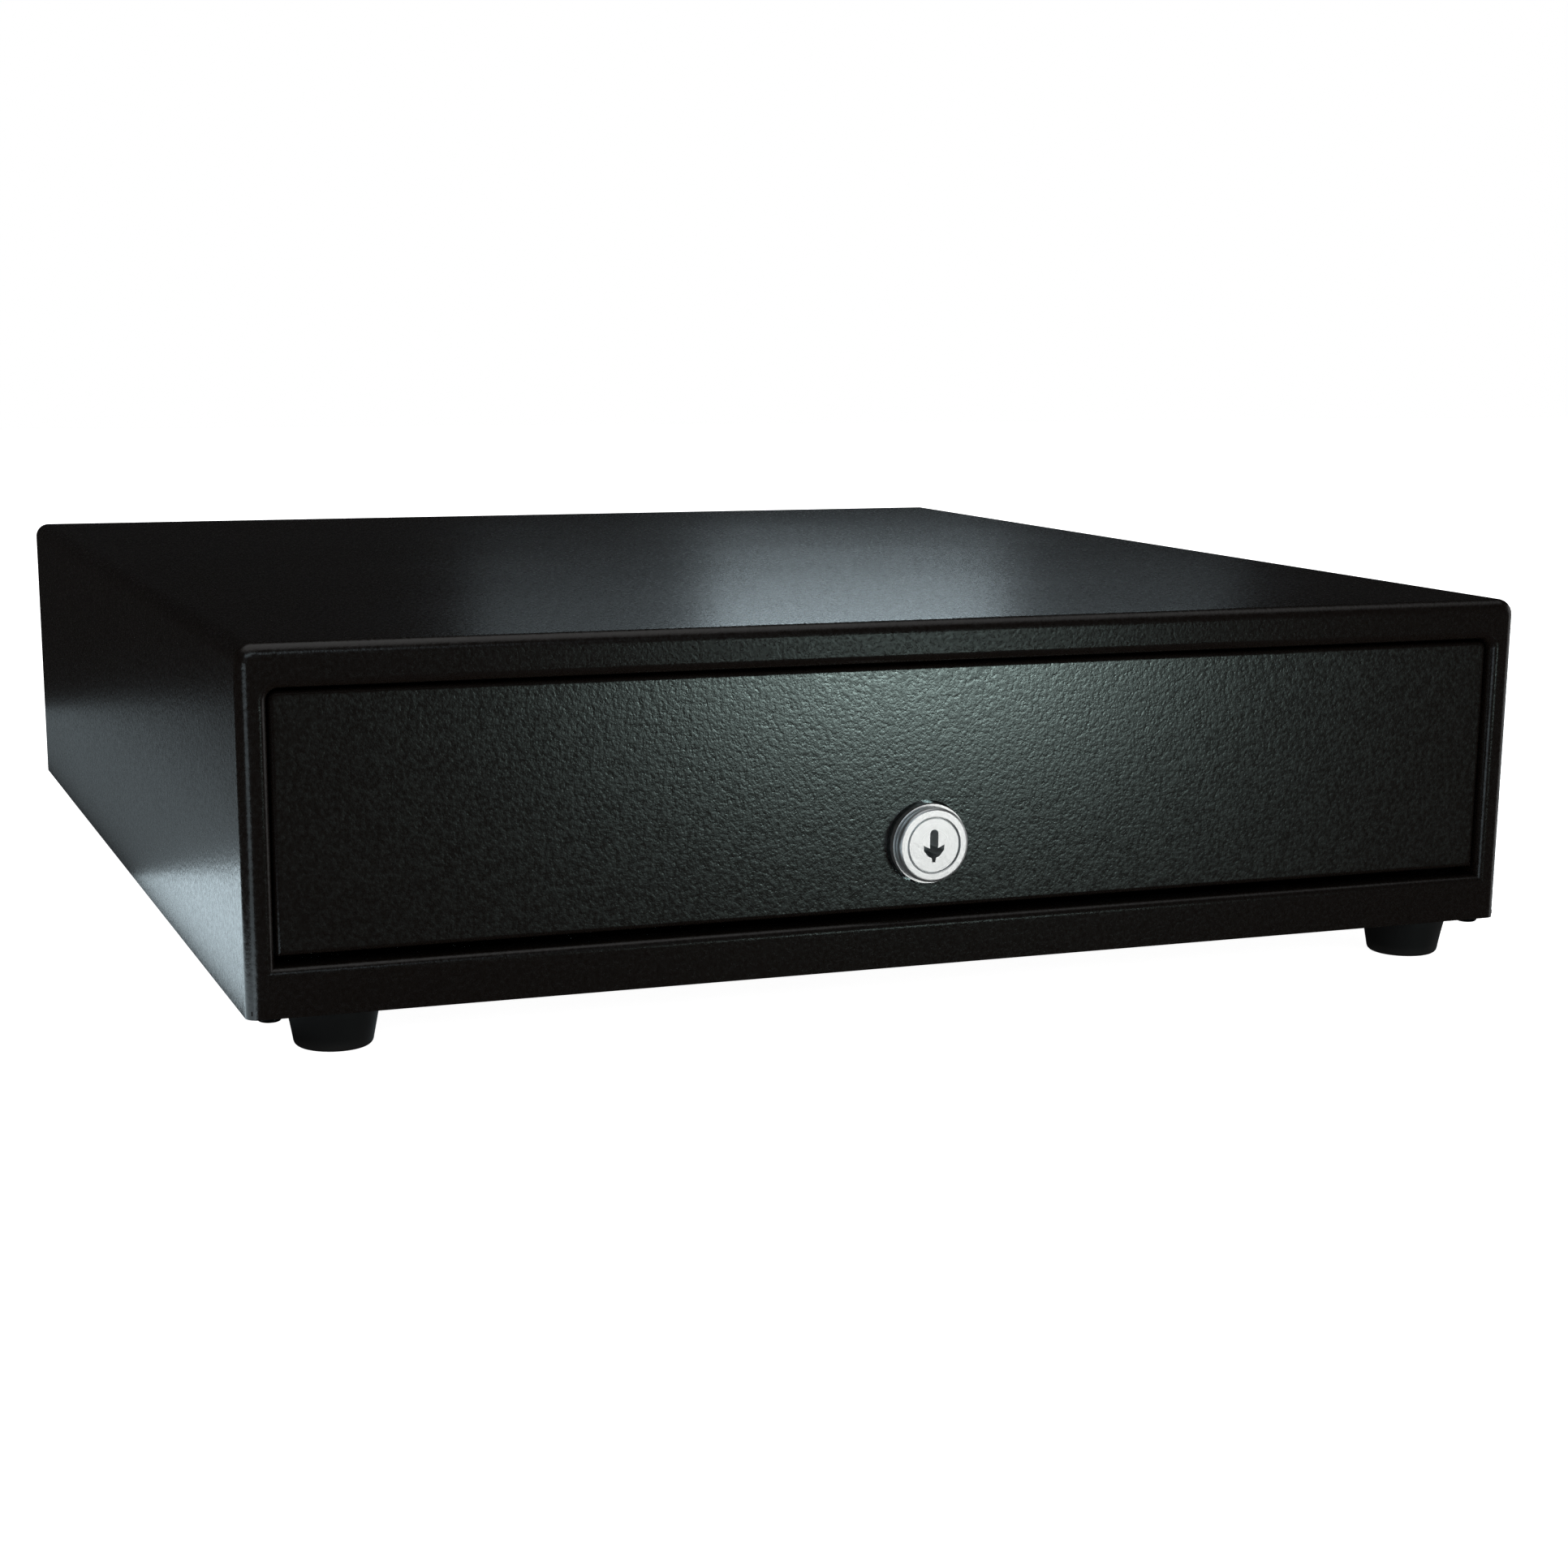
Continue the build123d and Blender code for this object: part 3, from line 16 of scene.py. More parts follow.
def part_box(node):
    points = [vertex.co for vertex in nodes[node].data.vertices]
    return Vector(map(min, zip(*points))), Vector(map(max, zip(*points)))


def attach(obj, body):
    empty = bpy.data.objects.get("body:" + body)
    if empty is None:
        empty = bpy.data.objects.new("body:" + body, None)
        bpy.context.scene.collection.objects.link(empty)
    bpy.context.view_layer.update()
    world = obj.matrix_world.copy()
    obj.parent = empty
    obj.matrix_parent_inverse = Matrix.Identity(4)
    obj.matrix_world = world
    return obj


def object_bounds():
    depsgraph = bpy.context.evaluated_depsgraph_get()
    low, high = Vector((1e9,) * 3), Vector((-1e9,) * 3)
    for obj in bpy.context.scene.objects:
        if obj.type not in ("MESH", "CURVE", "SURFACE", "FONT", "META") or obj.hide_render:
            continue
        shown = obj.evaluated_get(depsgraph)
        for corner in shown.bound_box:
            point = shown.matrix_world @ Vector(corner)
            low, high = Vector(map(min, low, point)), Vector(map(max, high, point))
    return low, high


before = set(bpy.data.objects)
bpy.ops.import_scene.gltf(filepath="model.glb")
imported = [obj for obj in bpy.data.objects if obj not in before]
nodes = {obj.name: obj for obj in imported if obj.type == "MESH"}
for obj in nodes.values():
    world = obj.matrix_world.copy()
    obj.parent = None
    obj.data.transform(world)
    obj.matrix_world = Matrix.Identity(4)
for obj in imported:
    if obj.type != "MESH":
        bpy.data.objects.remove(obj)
cad_low, cad_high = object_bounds()
print("size in mm:", [round(v * 1000, 1) for v in cad_high - cad_low])

MM = 0.001  # the frame is in metres; sizes below are easier to read in millimetres

# %% [markdown]
# ## Small helpers
# A colour is given as an sRGB hex value, and Blender's shaders want linear light, so one
# function turns one into the other.
# Every material below is built from these, which keeps each recipe short.

# %% Colour and shader-node helpers


def linear(hex_colour, gain=1.0):
    """Turns an sRGB colour such as #1b1c1c into linear RGBA, with its light times gain."""
    parts = [int(hex_colour[i : i + 2], 16) / 255 for i in (1, 3, 5)]
    parts = [c / 12.92 if c <= 0.04045 else ((c + 0.055) / 1.055) ** 2.4 for c in parts]
    return tuple(min(1.0, c * gain) for c in parts) + (1.0,)


def connect(tree, node, **given):
    """Sets a node's inputs. A value that is an output socket is linked, anything else is set.
    Inputs are named with underscores for spaces, or i0, i1, i2 by their place."""
    for name, value in given.items():
        by_place = name[0] == "i" and name[1:].isdigit()
        socket = node.inputs[int(name[1:])] if by_place else node.inputs[name.replace("_", " ")]
        if isinstance(value, bpy.types.NodeSocket):
            tree.links.new(value, socket)
        else:
            socket.default_value = value


def add_node(tree, kind, **given):
    """Adds a shader node: names that are the node's own settings are set, the rest are inputs."""
    node = tree.nodes.new(kind)
    own = [name for name in given if hasattr(node, name)]
    for name in own:
        setattr(node, name, given[name])
    connect(tree, node, **{name: value for name, value in given.items() if name not in own})
    return node


print("half-grey in linear light:", round(linear("#808080")[0], 3))

# %% [markdown]
# ## Starting and placing a material
# Each recipe starts from Blender's Principled shader and a point's place in metres, so that a
# pattern's scale can be worked out from a real size. A finished material then goes on the nodes
# that are made of it.

# %% New material, and nodes that take it


def new_material(name):
    """A fresh node material; returns it with its tree, its Principled shader and the place of
    each point in metres."""
    made = bpy.data.materials.new(name)
    made.use_nodes = True
    tree = made.node_tree
    place = add_node(tree, "ShaderNodeTexCoord").outputs["Object"]
    return made, tree, tree.nodes["Principled BSDF"], place


def finish_with(material, *names):
    """Puts one material on CAD nodes, in place of what they came with."""
    for name in names:
        mesh = nodes[name].data
        mesh.materials.clear()
        mesh.materials.append(material)
    print(material.name, "->", ", ".join(names))


# %% [markdown]
# ## Powder coat
# The case and the drawer face are steel sheet under a black fine-texture polyester powder coat.
# The powder melts into small rounded bumps, each about a millimetre across, with finer grit
# between them. It gives the eye a dark, satin surface: a light makes a broad soft patch on it
# that breaks up into grain. A noise texture at the size of the bumps drives a bump node, and a
# second, finer one makes the grit. Roughness varies a little over the sheet, as handling
# leaves it.

# %% Powder coat
COAT_BUMP = 1.2 * MM
COAT_GRIT = 0.5 * MM       # real grit is about 0.2 mm; it is drawn as coarse as it needs to show
HANDLED_PATCH = 90 * MM    # a hand's width
COAT_RELIEF = 0.09 * MM
COAT_SPREAD = 0.05         # how far roughness strays to each side


def powder_coat(name, hex_colour, roughness):
    material, tree, shader, place = new_material(name)
    bumps = add_node(tree, "ShaderNodeTexNoise", Vector=place, Scale=1 / COAT_BUMP, Detail=2.0)
    grit = add_node(tree, "ShaderNodeTexNoise", Vector=place, Scale=1 / COAT_GRIT, Detail=1.0)
    handling = add_node(
        tree, "ShaderNodeTexNoise", Vector=place, Scale=1 / HANDLED_PATCH, Detail=2.0,
    )
    relief = add_node(
        tree, "ShaderNodeMath", operation="MULTIPLY_ADD",
        i0=grit.outputs["Fac"], i1=0.35, i2=bumps.outputs["Fac"],
    )
    bump = add_node(
        tree, "ShaderNodeBump", Strength=0.7, Distance=COAT_RELIEF, Height=relief.outputs["Value"],
    )
    # the crowns of the bumps are a little duller than the hollows between them
    mottle = add_node(
        tree, "ShaderNodeMath", operation="MULTIPLY_ADD",
        i0=handling.outputs["Fac"], i1=0.15, i2=bumps.outputs["Fac"],
    )
    rough = add_node(
        tree, "ShaderNodeMapRange", Value=mottle.outputs["Value"], From_Min=0.4, From_Max=0.75,
        To_Min=roughness - COAT_SPREAD, To_Max=roughness + COAT_SPREAD,
    )
    tint = add_node(
        tree, "ShaderNodeMix", data_type="RGBA", i0=bumps.outputs["Fac"],
        i6=linear(hex_colour), i7=linear(hex_colour, 1.5),
    )
    connect(
        tree, shader, Base_Color=tint.outputs[2], Roughness=rough.outputs["Result"],
        Normal=bump.outputs["Normal"], IOR=1.5,
    )
    return material


black_coat = powder_coat("black_fine_texture_powder_coat", "#060403", 0.24)
finish_with(black_coat, "case_shell", "base_plate", "rear_panel", "drawer_front")

# %% [markdown]
# ## Moulded rubber
# The feet are compression-moulded black rubber. The mould is spark-eroded, so the skin has a fine
# matt grain, and the rim near the table picks up a little grey dust. Rubber has a low, broad
# sheen: high roughness and a small bump do that, and the dust is a lighter colour that fades out
# a few millimetres above the table.

# %% Moulded rubber
ERODED_GRAIN = 0.4 * MM
SMEAR = 9 * MM
DUST_LOW, DUST_HIGH = 0.5 * MM, 4 * MM   # heights between which the dust fades out


def moulded_rubber(name, hex_colour):
    material, tree, shader, place = new_material(name)
    grain = add_node(tree, "ShaderNodeTexNoise", Vector=place, Scale=1 / ERODED_GRAIN, Detail=3.0)
    smears = add_node(tree, "ShaderNodeTexNoise", Vector=place, Scale=1 / SMEAR, Detail=4.0)
    height = add_node(tree, "ShaderNodeSeparateXYZ", Vector=place)
    low_down = add_node(
        tree, "ShaderNodeMapRange", interpolation_type="SMOOTHSTEP", Value=height.outputs["Z"],
        From_Min=DUST_LOW, From_Max=DUST_HIGH, To_Min=0.4, To_Max=0.0,
    )
    dust = add_node(
        tree, "ShaderNodeMath", operation="MULTIPLY",
        i0=low_down.outputs["Result"], i1=smears.outputs["Fac"],
    )
    tint = add_node(
        tree, "ShaderNodeMix", data_type="RGBA", i0=dust.outputs["Value"],
        i6=linear(hex_colour), i7=linear("#1e1d1c"),
    )
    rough = add_node(
        tree, "ShaderNodeMapRange", Value=smears.outputs["Fac"], To_Min=0.55, To_Max=0.72,
    )
    bump = add_node(
        tree, "ShaderNodeBump", Strength=0.5, Distance=0.06 * MM, Height=grain.outputs["Fac"],
    )
    connect(
        tree, shader, Base_Color=tint.outputs[2], Roughness=rough.outputs["Result"],
        Normal=bump.outputs["Normal"], IOR=1.52, Specular_IOR_Level=0.2,
    )
    return material


finish_with(moulded_rubber("moulded_black_rubber", "#050505"), "rubber_feet")

# %% [markdown]
# ## Satin chrome on a turned lock
# The lock body and its plug are turned from zinc alloy, and plated with satin chrome. Turning
# leaves rings round the lock's axis. So the distance from that axis drives a one-dimensional
# noise, and that makes rings of uneven depth. Fine scratches from keys run across them. The
# colour is the slightly blue grey of chrome.

# %% Satin chrome
lock_low, lock_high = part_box("lock_plug")
lock_axis = (lock_low + lock_high) / 2
TURNING_MARK = 0.3 * MM   # real marks are under 0.1 mm apart; these are drawn so that they show
KEY_SCRATCH = 0.35 * MM
print("lock axis at x, z in mm:", round(lock_axis.x / MM, 1), round(lock_axis.z / MM, 1))


def turned_chrome(name, hex_colour, roughness):
    material, tree, shader, place = new_material(name)
    offset = add_node(
        tree, "ShaderNodeVectorMath", operation="SUBTRACT",
        i0=place, i1=(lock_axis.x, 0.0, lock_axis.z),
    )
    flat = add_node(
        tree, "ShaderNodeVectorMath", operation="MULTIPLY",
        i0=offset.outputs["Vector"], i1=(1.0, 0.0, 1.0),
    )
    radius = add_node(tree, "ShaderNodeVectorMath", operation="LENGTH", i0=flat.outputs["Vector"])
    rings = add_node(
        tree, "ShaderNodeTexNoise", noise_dimensions="1D", W=radius.outputs["Value"],
        Scale=1 / TURNING_MARK, Detail=2.0,
    )
    stretch = add_node(
        tree, "ShaderNodeMapping", Vector=place, Rotation=(0.3, 0.5, 0.9), Scale=(1.0, 0.06, 1.0),
    )
    scratches = add_node(
        tree, "ShaderNodeTexNoise", Vector=stretch.outputs["Vector"],
        Scale=1 / KEY_SCRATCH, Detail=3.0,
    )
    relief = add_node(
        tree, "ShaderNodeMath", operation="MULTIPLY_ADD",
        i0=scratches.outputs["Fac"], i1=0.4, i2=rings.outputs["Fac"],
    )
    bump = add_node(
        tree, "ShaderNodeBump", Strength=0.35, Distance=0.03 * MM, Height=relief.outputs["Value"],
    )
    rough = add_node(
        tree, "ShaderNodeMapRange", Value=scratches.outputs["Fac"],
        From_Min=0.35, From_Max=0.65, To_Min=roughness - 0.05, To_Max=roughness + 0.08,
    )
    tint = add_node(
        tree, "ShaderNodeMix", data_type="RGBA", i0=rings.outputs["Fac"],
        i6=linear(hex_colour, 0.85), i7=linear(hex_colour),
    )
    connect(
        tree, shader, Base_Color=tint.outputs[2], Metallic=1.0,
        Roughness=rough.outputs["Result"], Normal=bump.outputs["Normal"],
    )
    return material


finish_with(turned_chrome("satin_chrome_turned", "#eef1f2", 0.34), "lock_housing", "lock_plug")

# %% [markdown]
# ## Zinc on sheet
# The pan, the brackets and the frames are hot-dip galvanised sheet. Zinc freezes on the sheet as
# flat crystals, called spangle, and each mirrors the room a little differently. A Voronoi texture
# gives each crystal its own grey and its own roughness, and a noise makes their edges ragged.

# %% Galvanised sheet
RAGGED_STEP = 3 * MM       # how often a crystal's edge wanders
RAGGED_SHIFT = 2.5 * MM    # how far
ROLLING_STREAK = 0.6 * MM  # the width of the streaks that rolling leaves along the sheet


def galvanised_sheet(name, spangle_mm):
    material, tree, shader, place = new_material(name)
    ragged = add_node(
        tree, "ShaderNodeTexNoise", Vector=place, Scale=1 / RAGGED_STEP, Detail=2.0,
    )
    shifted = add_node(
        tree, "ShaderNodeVectorMath", operation="MULTIPLY_ADD",
        i0=ragged.outputs["Color"], i1=(RAGGED_SHIFT,) * 3, i2=place,
    )
    crystals = add_node(
        tree, "ShaderNodeTexVoronoi", Vector=shifted.outputs["Vector"],
        Scale=1 / (spangle_mm * MM),
    )
    along = add_node(tree, "ShaderNodeMapping", Vector=place, Scale=(1.0, 0.03, 1.0))
    streaks = add_node(
        tree, "ShaderNodeTexNoise", Vector=along.outputs["Vector"],
        Scale=1 / ROLLING_STREAK, Detail=3.0,
    )
    tint = add_node(
        tree, "ShaderNodeMix", data_type="RGBA", i0=crystals.outputs["Color"],
        i6=linear("#9a9fa3"), i7=linear("#bcc0c2"),
    )
    rough = add_node(
        tree, "ShaderNodeMapRange", Value=crystals.outputs["Color"], To_Min=0.34, To_Max=0.5,
    )
    bump = add_node(
        tree, "ShaderNodeBump", Strength=0.25, Distance=0.02 * MM, Height=streaks.outputs["Fac"],
    )
    connect(
        tree, shader, Base_Color=tint.outputs[2], Metallic=1.0,
        Roughness=rough.outputs["Result"], Normal=bump.outputs["Normal"],
    )
    return material


finish_with(galvanised_sheet("galvanised_steel_pan", 9), "drawer_pan")
finish_with(
    galvanised_sheet("galvanised_steel_brackets", 5), "left_rail_bracket", "right_rail_bracket",
    "lock_bracket", "latch_frame", "spring_bracket", "switch_bracket", "latch_striker",
    "solenoid_frame", "latch_hook",
)

# %% [markdown]
# ## Zinc on hardware
# Nuts, rivets, stand-offs and the lock's cam are electroplated and passivated instead: bright,
# with a thin blue and straw-coloured cloud. A soft noise mixes the two tints, and a fine one is
# the marks of the tools that stamped and threaded them.

# %% Bright zinc plate
PASSIVATE_CLOUD = 6 * MM
TOOL_MARK = 0.25 * MM


def bright_zinc(name):
    material, tree, shader, place = new_material(name)
    cloud = add_node(
        tree, "ShaderNodeTexNoise", Vector=place, Scale=1 / PASSIVATE_CLOUD, Detail=2.0,
    )
    marks = add_node(tree, "ShaderNodeTexNoise", Vector=place, Scale=1 / TOOL_MARK, Detail=3.0)
    tint = add_node(
        tree, "ShaderNodeMix", data_type="RGBA", i0=cloud.outputs["Fac"],
        i6=linear("#b4bcc6"), i7=linear("#c6c2a8"),
    )
    rough = add_node(
        tree, "ShaderNodeMapRange", Value=marks.outputs["Fac"], To_Min=0.2, To_Max=0.42,
    )
    bump = add_node(
        tree, "ShaderNodeBump", Strength=0.3, Distance=0.02 * MM, Height=marks.outputs["Fac"],
    )
    connect(
        tree, shader, Base_Color=tint.outputs[2], Metallic=1.0,
        Roughness=rough.outputs["Result"], Normal=bump.outputs["Normal"],
    )
    return material


finish_with(
    bright_zinc("bright_zinc_plated_steel"), "foot_screws", "rail_rivets", "front_nuts",
    "board_standoffs", "lock_nut", "lock_cam", "cam_screw", "latch_pin",
)

# %% [markdown]
# ## Black screws
# The screws that hold the base and the rear panel are blackened steel. The bath leaves a thin
# dark oxide, so the metal still shows through as a satin sheen, and a driver rubs it brighter
# here and there. A dark metal with a noise that lifts the colour in a few spots gives that.

# %% Blackened steel
DRIVER_RUB = 1.5 * MM


def blackened_steel(name):
    material, tree, shader, place = new_material(name)
    rubs = add_node(tree, "ShaderNodeTexNoise", Vector=place, Scale=1 / DRIVER_RUB, Detail=4.0)
    rubbed = add_node(
        tree, "ShaderNodeMapRange", Value=rubs.outputs["Fac"], From_Min=0.6, From_Max=0.72,
    )
    tint = add_node(
        tree, "ShaderNodeMix", data_type="RGBA", i0=rubbed.outputs["Result"],
        i6=linear("#161719"), i7=linear("#4d4e50"),
    )
    rough = add_node(
        tree, "ShaderNodeMapRange", Value=rubs.outputs["Fac"], To_Min=0.3, To_Max=0.5,
    )
    bump = add_node(
        tree, "ShaderNodeBump", Strength=0.3, Distance=0.02 * MM, Height=rubs.outputs["Fac"],
    )
    connect(
        tree, shader, Base_Color=tint.outputs[2], Metallic=1.0,
        Roughness=rough.outputs["Result"], Normal=bump.outputs["Normal"],
    )
    return material


finish_with(blackened_steel("blackened_steel_screws"), "base_screws", "rear_screws")

# %% [markdown]
# ## Slide steel and spring wire
# The slide members are cold-rolled and bright zinc plated, and the balls polish a track along
# them. Both leave lines that run front to back, so the noise is stretched that way. The ball
# cages are brighter, with shorter marks. The springs, the pins and the solenoid's plunger are
# drawn steel: darker, with a faint straw tint from the stress-relief oven.

# %% Rolled slides and drawn wire
OIL_SMEAR = 14 * MM


def drawn_steel(name, hex_cool, hex_warm, line_mm, stretch, low, high):
    """Bright steel with marks along one direction. stretch is the mark's length over its width,
    and low and high are the roughness between which the marks vary."""
    material, tree, shader, place = new_material(name)
    along = add_node(tree, "ShaderNodeMapping", Vector=place, Scale=(1.0, 1.0 / stretch, 1.0))
    lines = add_node(
        tree, "ShaderNodeTexNoise", Vector=along.outputs["Vector"],
        Scale=1 / (line_mm * MM), Detail=4.0,
    )
    oil = add_node(tree, "ShaderNodeTexNoise", Vector=place, Scale=1 / OIL_SMEAR, Detail=3.0)
    tint = add_node(
        tree, "ShaderNodeMix", data_type="RGBA", i0=oil.outputs["Fac"],
        i6=linear(hex_cool), i7=linear(hex_warm),
    )
    rough = add_node(
        tree, "ShaderNodeMapRange", Value=lines.outputs["Fac"],
        From_Min=0.3, From_Max=0.7, To_Min=low, To_Max=high,
    )
    bump = add_node(
        tree, "ShaderNodeBump", Strength=0.3, Distance=0.02 * MM, Height=lines.outputs["Fac"],
    )
    connect(
        tree, shader, Base_Color=tint.outputs[2], Metallic=1.0,
        Roughness=rough.outputs["Result"], Normal=bump.outputs["Normal"],
    )
    return material


rolled_slide = drawn_steel(
    "cold_rolled_zinc_plated_slide", "#a9afb5", "#bdbcb2", line_mm=0.5, stretch=60, low=0.22, high=0.4,
)
caged_balls = drawn_steel(
    "polished_ball_cage_steel", "#c3c6c9", "#b5b1a2", line_mm=0.4, stretch=8, low=0.14, high=0.3,
)
spring_wire = drawn_steel(
    "drawn_spring_wire", "#8b8e92", "#9d9377", line_mm=0.3, stretch=4, low=0.25, high=0.4,
)
for side in ("left", "right"):
    finish_with(rolled_slide, side + "_outer_rail", side + "_mid_rail", side + "_inner_rail")
    finish_with(caged_balls, side + "_outer_ball_cage", side + "_inner_ball_cage")
finish_with(
    spring_wire, "kick_spring", "latch_spring", "clip_springs", "clip_pins",
    "solenoid_plunger", "plunger_pin",
)

# %% [markdown]
# ## Moulded plastics
# The till, the coin tray and the note clips are injection-moulded black ABS with a fine leather
# grain, and coins scuff them grey over the years. The switch, the jack and the solenoid's bobbin
# are a harder black nylon with a plain satin skin. Both come from one recipe: a Voronoi grain of
# the mould's own size, and stretched noise for the scuffs.

# %% Grained ABS and satin nylon
SCUFF = 0.8 * MM  # the width of one scuff


def moulded_plastic(name, hex_colour, grain_mm, depth_mm, roughness, scuff):
    material, tree, shader, place = new_material(name)
    ragged = add_node(
        tree, "ShaderNodeTexNoise", Vector=place, Scale=1 / (2 * grain_mm * MM), Detail=2.0,
    )
    shifted = add_node(
        tree, "ShaderNodeVectorMath", operation="MULTIPLY_ADD",
        i0=ragged.outputs["Color"], i1=(grain_mm * MM,) * 3, i2=place,
    )
    grain = add_node(
        tree, "ShaderNodeTexVoronoi", feature="SMOOTH_F1", Vector=shifted.outputs["Vector"],
        Scale=1 / (grain_mm * MM),
    )
    across = add_node(
        tree, "ShaderNodeMapping", Vector=place, Rotation=(0.0, 0.0, 0.6), Scale=(1.0, 0.04, 1.0),
    )
    lines = add_node(
        tree, "ShaderNodeTexNoise", Vector=across.outputs["Vector"], Scale=1 / SCUFF, Detail=4.0,
    )
    scuffs = add_node(
        tree, "ShaderNodeMapRange", Value=lines.outputs["Fac"],
        From_Min=0.6, From_Max=0.8, To_Min=0.0, To_Max=scuff,
    )
    tint = add_node(
        tree, "ShaderNodeMix", data_type="RGBA", i0=scuffs.outputs["Result"],
        i6=linear(hex_colour), i7=linear("#55565a"),
    )
    rough = add_node(
        tree, "ShaderNodeMapRange", Value=lines.outputs["Fac"],
        To_Min=roughness - 0.06, To_Max=roughness + 0.1,
    )
    bump = add_node(
        tree, "ShaderNodeBump", Strength=0.6, Distance=depth_mm * MM,
        Height=grain.outputs["Distance"],
    )
    connect(
        tree, shader, Base_Color=tint.outputs[2], Roughness=rough.outputs["Result"],
        Normal=bump.outputs["Normal"], IOR=1.53,
    )
    return material


grained_abs = moulded_plastic(
    "leather_grain_black_abs", "#151617", grain_mm=0.9, depth_mm=0.08, roughness=0.42, scuff=0.5,
)
satin_nylon = moulded_plastic(
    "satin_black_nylon", "#101113", grain_mm=0.3, depth_mm=0.02, roughness=0.36, scuff=0.2,
)
finish_with(grained_abs, "till_tray", "coin_tray", *("note_clip_%d" % n for n in range(1, 6)))
finish_with(satin_nylon, "drawer_switch", "switch_button", "cable_jack", "solenoid_coil")

# %% [markdown]
# ## Circuit board
# The board is glass-fibre laminate under a green solder mask. Copper tracks lie under the mask,
# and show as lighter green lines on a darker ground. A brick texture, with its mortar as the gap
# between tracks, looks like that from any distance at which the board is seen. What stands above
# the board is a component in black epoxy, so height decides between mask and epoxy.

# %% Solder mask
board_low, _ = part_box("circuit_board")
BOARD_THICK = 1.65 * MM
TRACK_RUN = 14 * MM
TRACK_PITCH = 1.5 * MM
TRACK_MARGIN = 0.3 * MM   # mortar on each side of a track, so two tracks are 0.6 mm apart
GLASS_WEAVE = 0.5 * MM
print("board top at z in mm:", round((board_low.z + BOARD_THICK) / MM, 2))


def solder_mask(name):
    material, tree, shader, place = new_material(name)
    tracks = add_node(
        tree, "ShaderNodeTexBrick", Vector=place, Scale=1.0, Color1=linear("#1f5c38"),
        Color2=linear("#1a5130"), Mortar=linear("#0c2f1b"), Mortar_Size=TRACK_MARGIN,
        Brick_Width=TRACK_RUN, Row_Height=TRACK_PITCH, Mortar_Smooth=0.2,
    )
    height = add_node(tree, "ShaderNodeSeparateXYZ", Vector=place)
    above = add_node(
        tree, "ShaderNodeMath", operation="GREATER_THAN",
        i0=height.outputs["Z"], i1=board_low.z + BOARD_THICK,
    )
    tint = add_node(
        tree, "ShaderNodeMix", data_type="RGBA", i0=above.outputs["Value"],
        i6=tracks.outputs["Color"], i7=linear("#1a1b1d"),
    )
    weave = add_node(tree, "ShaderNodeTexNoise", Vector=place, Scale=1 / GLASS_WEAVE, Detail=2.0)
    rough = add_node(
        tree, "ShaderNodeMapRange", Value=weave.outputs["Fac"], To_Min=0.18, To_Max=0.34,
    )
    relief = add_node(
        tree, "ShaderNodeMath", operation="MULTIPLY_ADD",
        i0=tracks.outputs["Fac"], i1=-0.8, i2=weave.outputs["Fac"],
    )
    bump = add_node(
        tree, "ShaderNodeBump", Strength=0.4, Distance=0.03 * MM, Height=relief.outputs["Value"],
    )
    connect(
        tree, shader, Base_Color=tint.outputs[2], Roughness=rough.outputs["Result"],
        Normal=bump.outputs["Normal"], IOR=1.5,
    )
    return material


finish_with(solder_mask("green_solder_mask_board"), "circuit_board")

# %% [markdown]
# ## Lead to the solenoid
# The lead is in red PVC. It is extruded, so it is glossy, with faint lines along it: a noise
# stretched along x, which is the way the lead mostly runs.

# %% Extruded PVC
DIE_LINE = 0.4 * MM


def extruded_pvc(name, hex_colour):
    material, tree, shader, place = new_material(name)
    along = add_node(tree, "ShaderNodeMapping", Vector=place, Scale=(0.1, 1.0, 1.0))
    lines = add_node(
        tree, "ShaderNodeTexNoise", Vector=along.outputs["Vector"], Scale=1 / DIE_LINE, Detail=2.0,
    )
    tint = add_node(
        tree, "ShaderNodeMix", data_type="RGBA", i0=lines.outputs["Fac"],
        i6=linear(hex_colour, 0.8), i7=linear(hex_colour, 1.2),
    )
    rough = add_node(
        tree, "ShaderNodeMapRange", Value=lines.outputs["Fac"], To_Min=0.28, To_Max=0.42,
    )
    bump = add_node(
        tree, "ShaderNodeBump", Strength=0.25, Distance=0.02 * MM, Height=lines.outputs["Fac"],
    )
    connect(
        tree, shader, Base_Color=tint.outputs[2], Roughness=rough.outputs["Result"],
        Normal=bump.outputs["Normal"], IOR=1.53,
    )
    return material


finish_with(extruded_pvc("extruded_red_pvc", "#8c1c18"), "solenoid_lead")

# %% [markdown]
# ## Enamelled copper
# The winding's wire is bright copper under a clear enamel. The copper is the metal, and the
# shader's coat is the enamel over it.

# %% Enamelled copper
ENAMEL_RUN = 1.5 * MM  # how far apart the enamel's thicker patches lie


def enamelled_copper(name):
    material, tree, shader, place = new_material(name)
    runs = add_node(tree, "ShaderNodeTexNoise", Vector=place, Scale=1 / ENAMEL_RUN, Detail=3.0)
    tint = add_node(
        tree, "ShaderNodeMix", data_type="RGBA", i0=runs.outputs["Fac"],
        i6=linear("#a4532a"), i7=linear("#c77a45"),
    )
    rough = add_node(
        tree, "ShaderNodeMapRange", Value=runs.outputs["Fac"], To_Min=0.22, To_Max=0.36,
    )
    bump = add_node(
        tree, "ShaderNodeBump", Strength=0.2, Distance=0.02 * MM, Height=runs.outputs["Fac"],
    )
    connect(
        tree, shader, Base_Color=tint.outputs[2], Metallic=1.0, Roughness=rough.outputs["Result"],
        Normal=bump.outputs["Normal"], Coat_Weight=0.6, Coat_Roughness=0.12,
    )
    return material


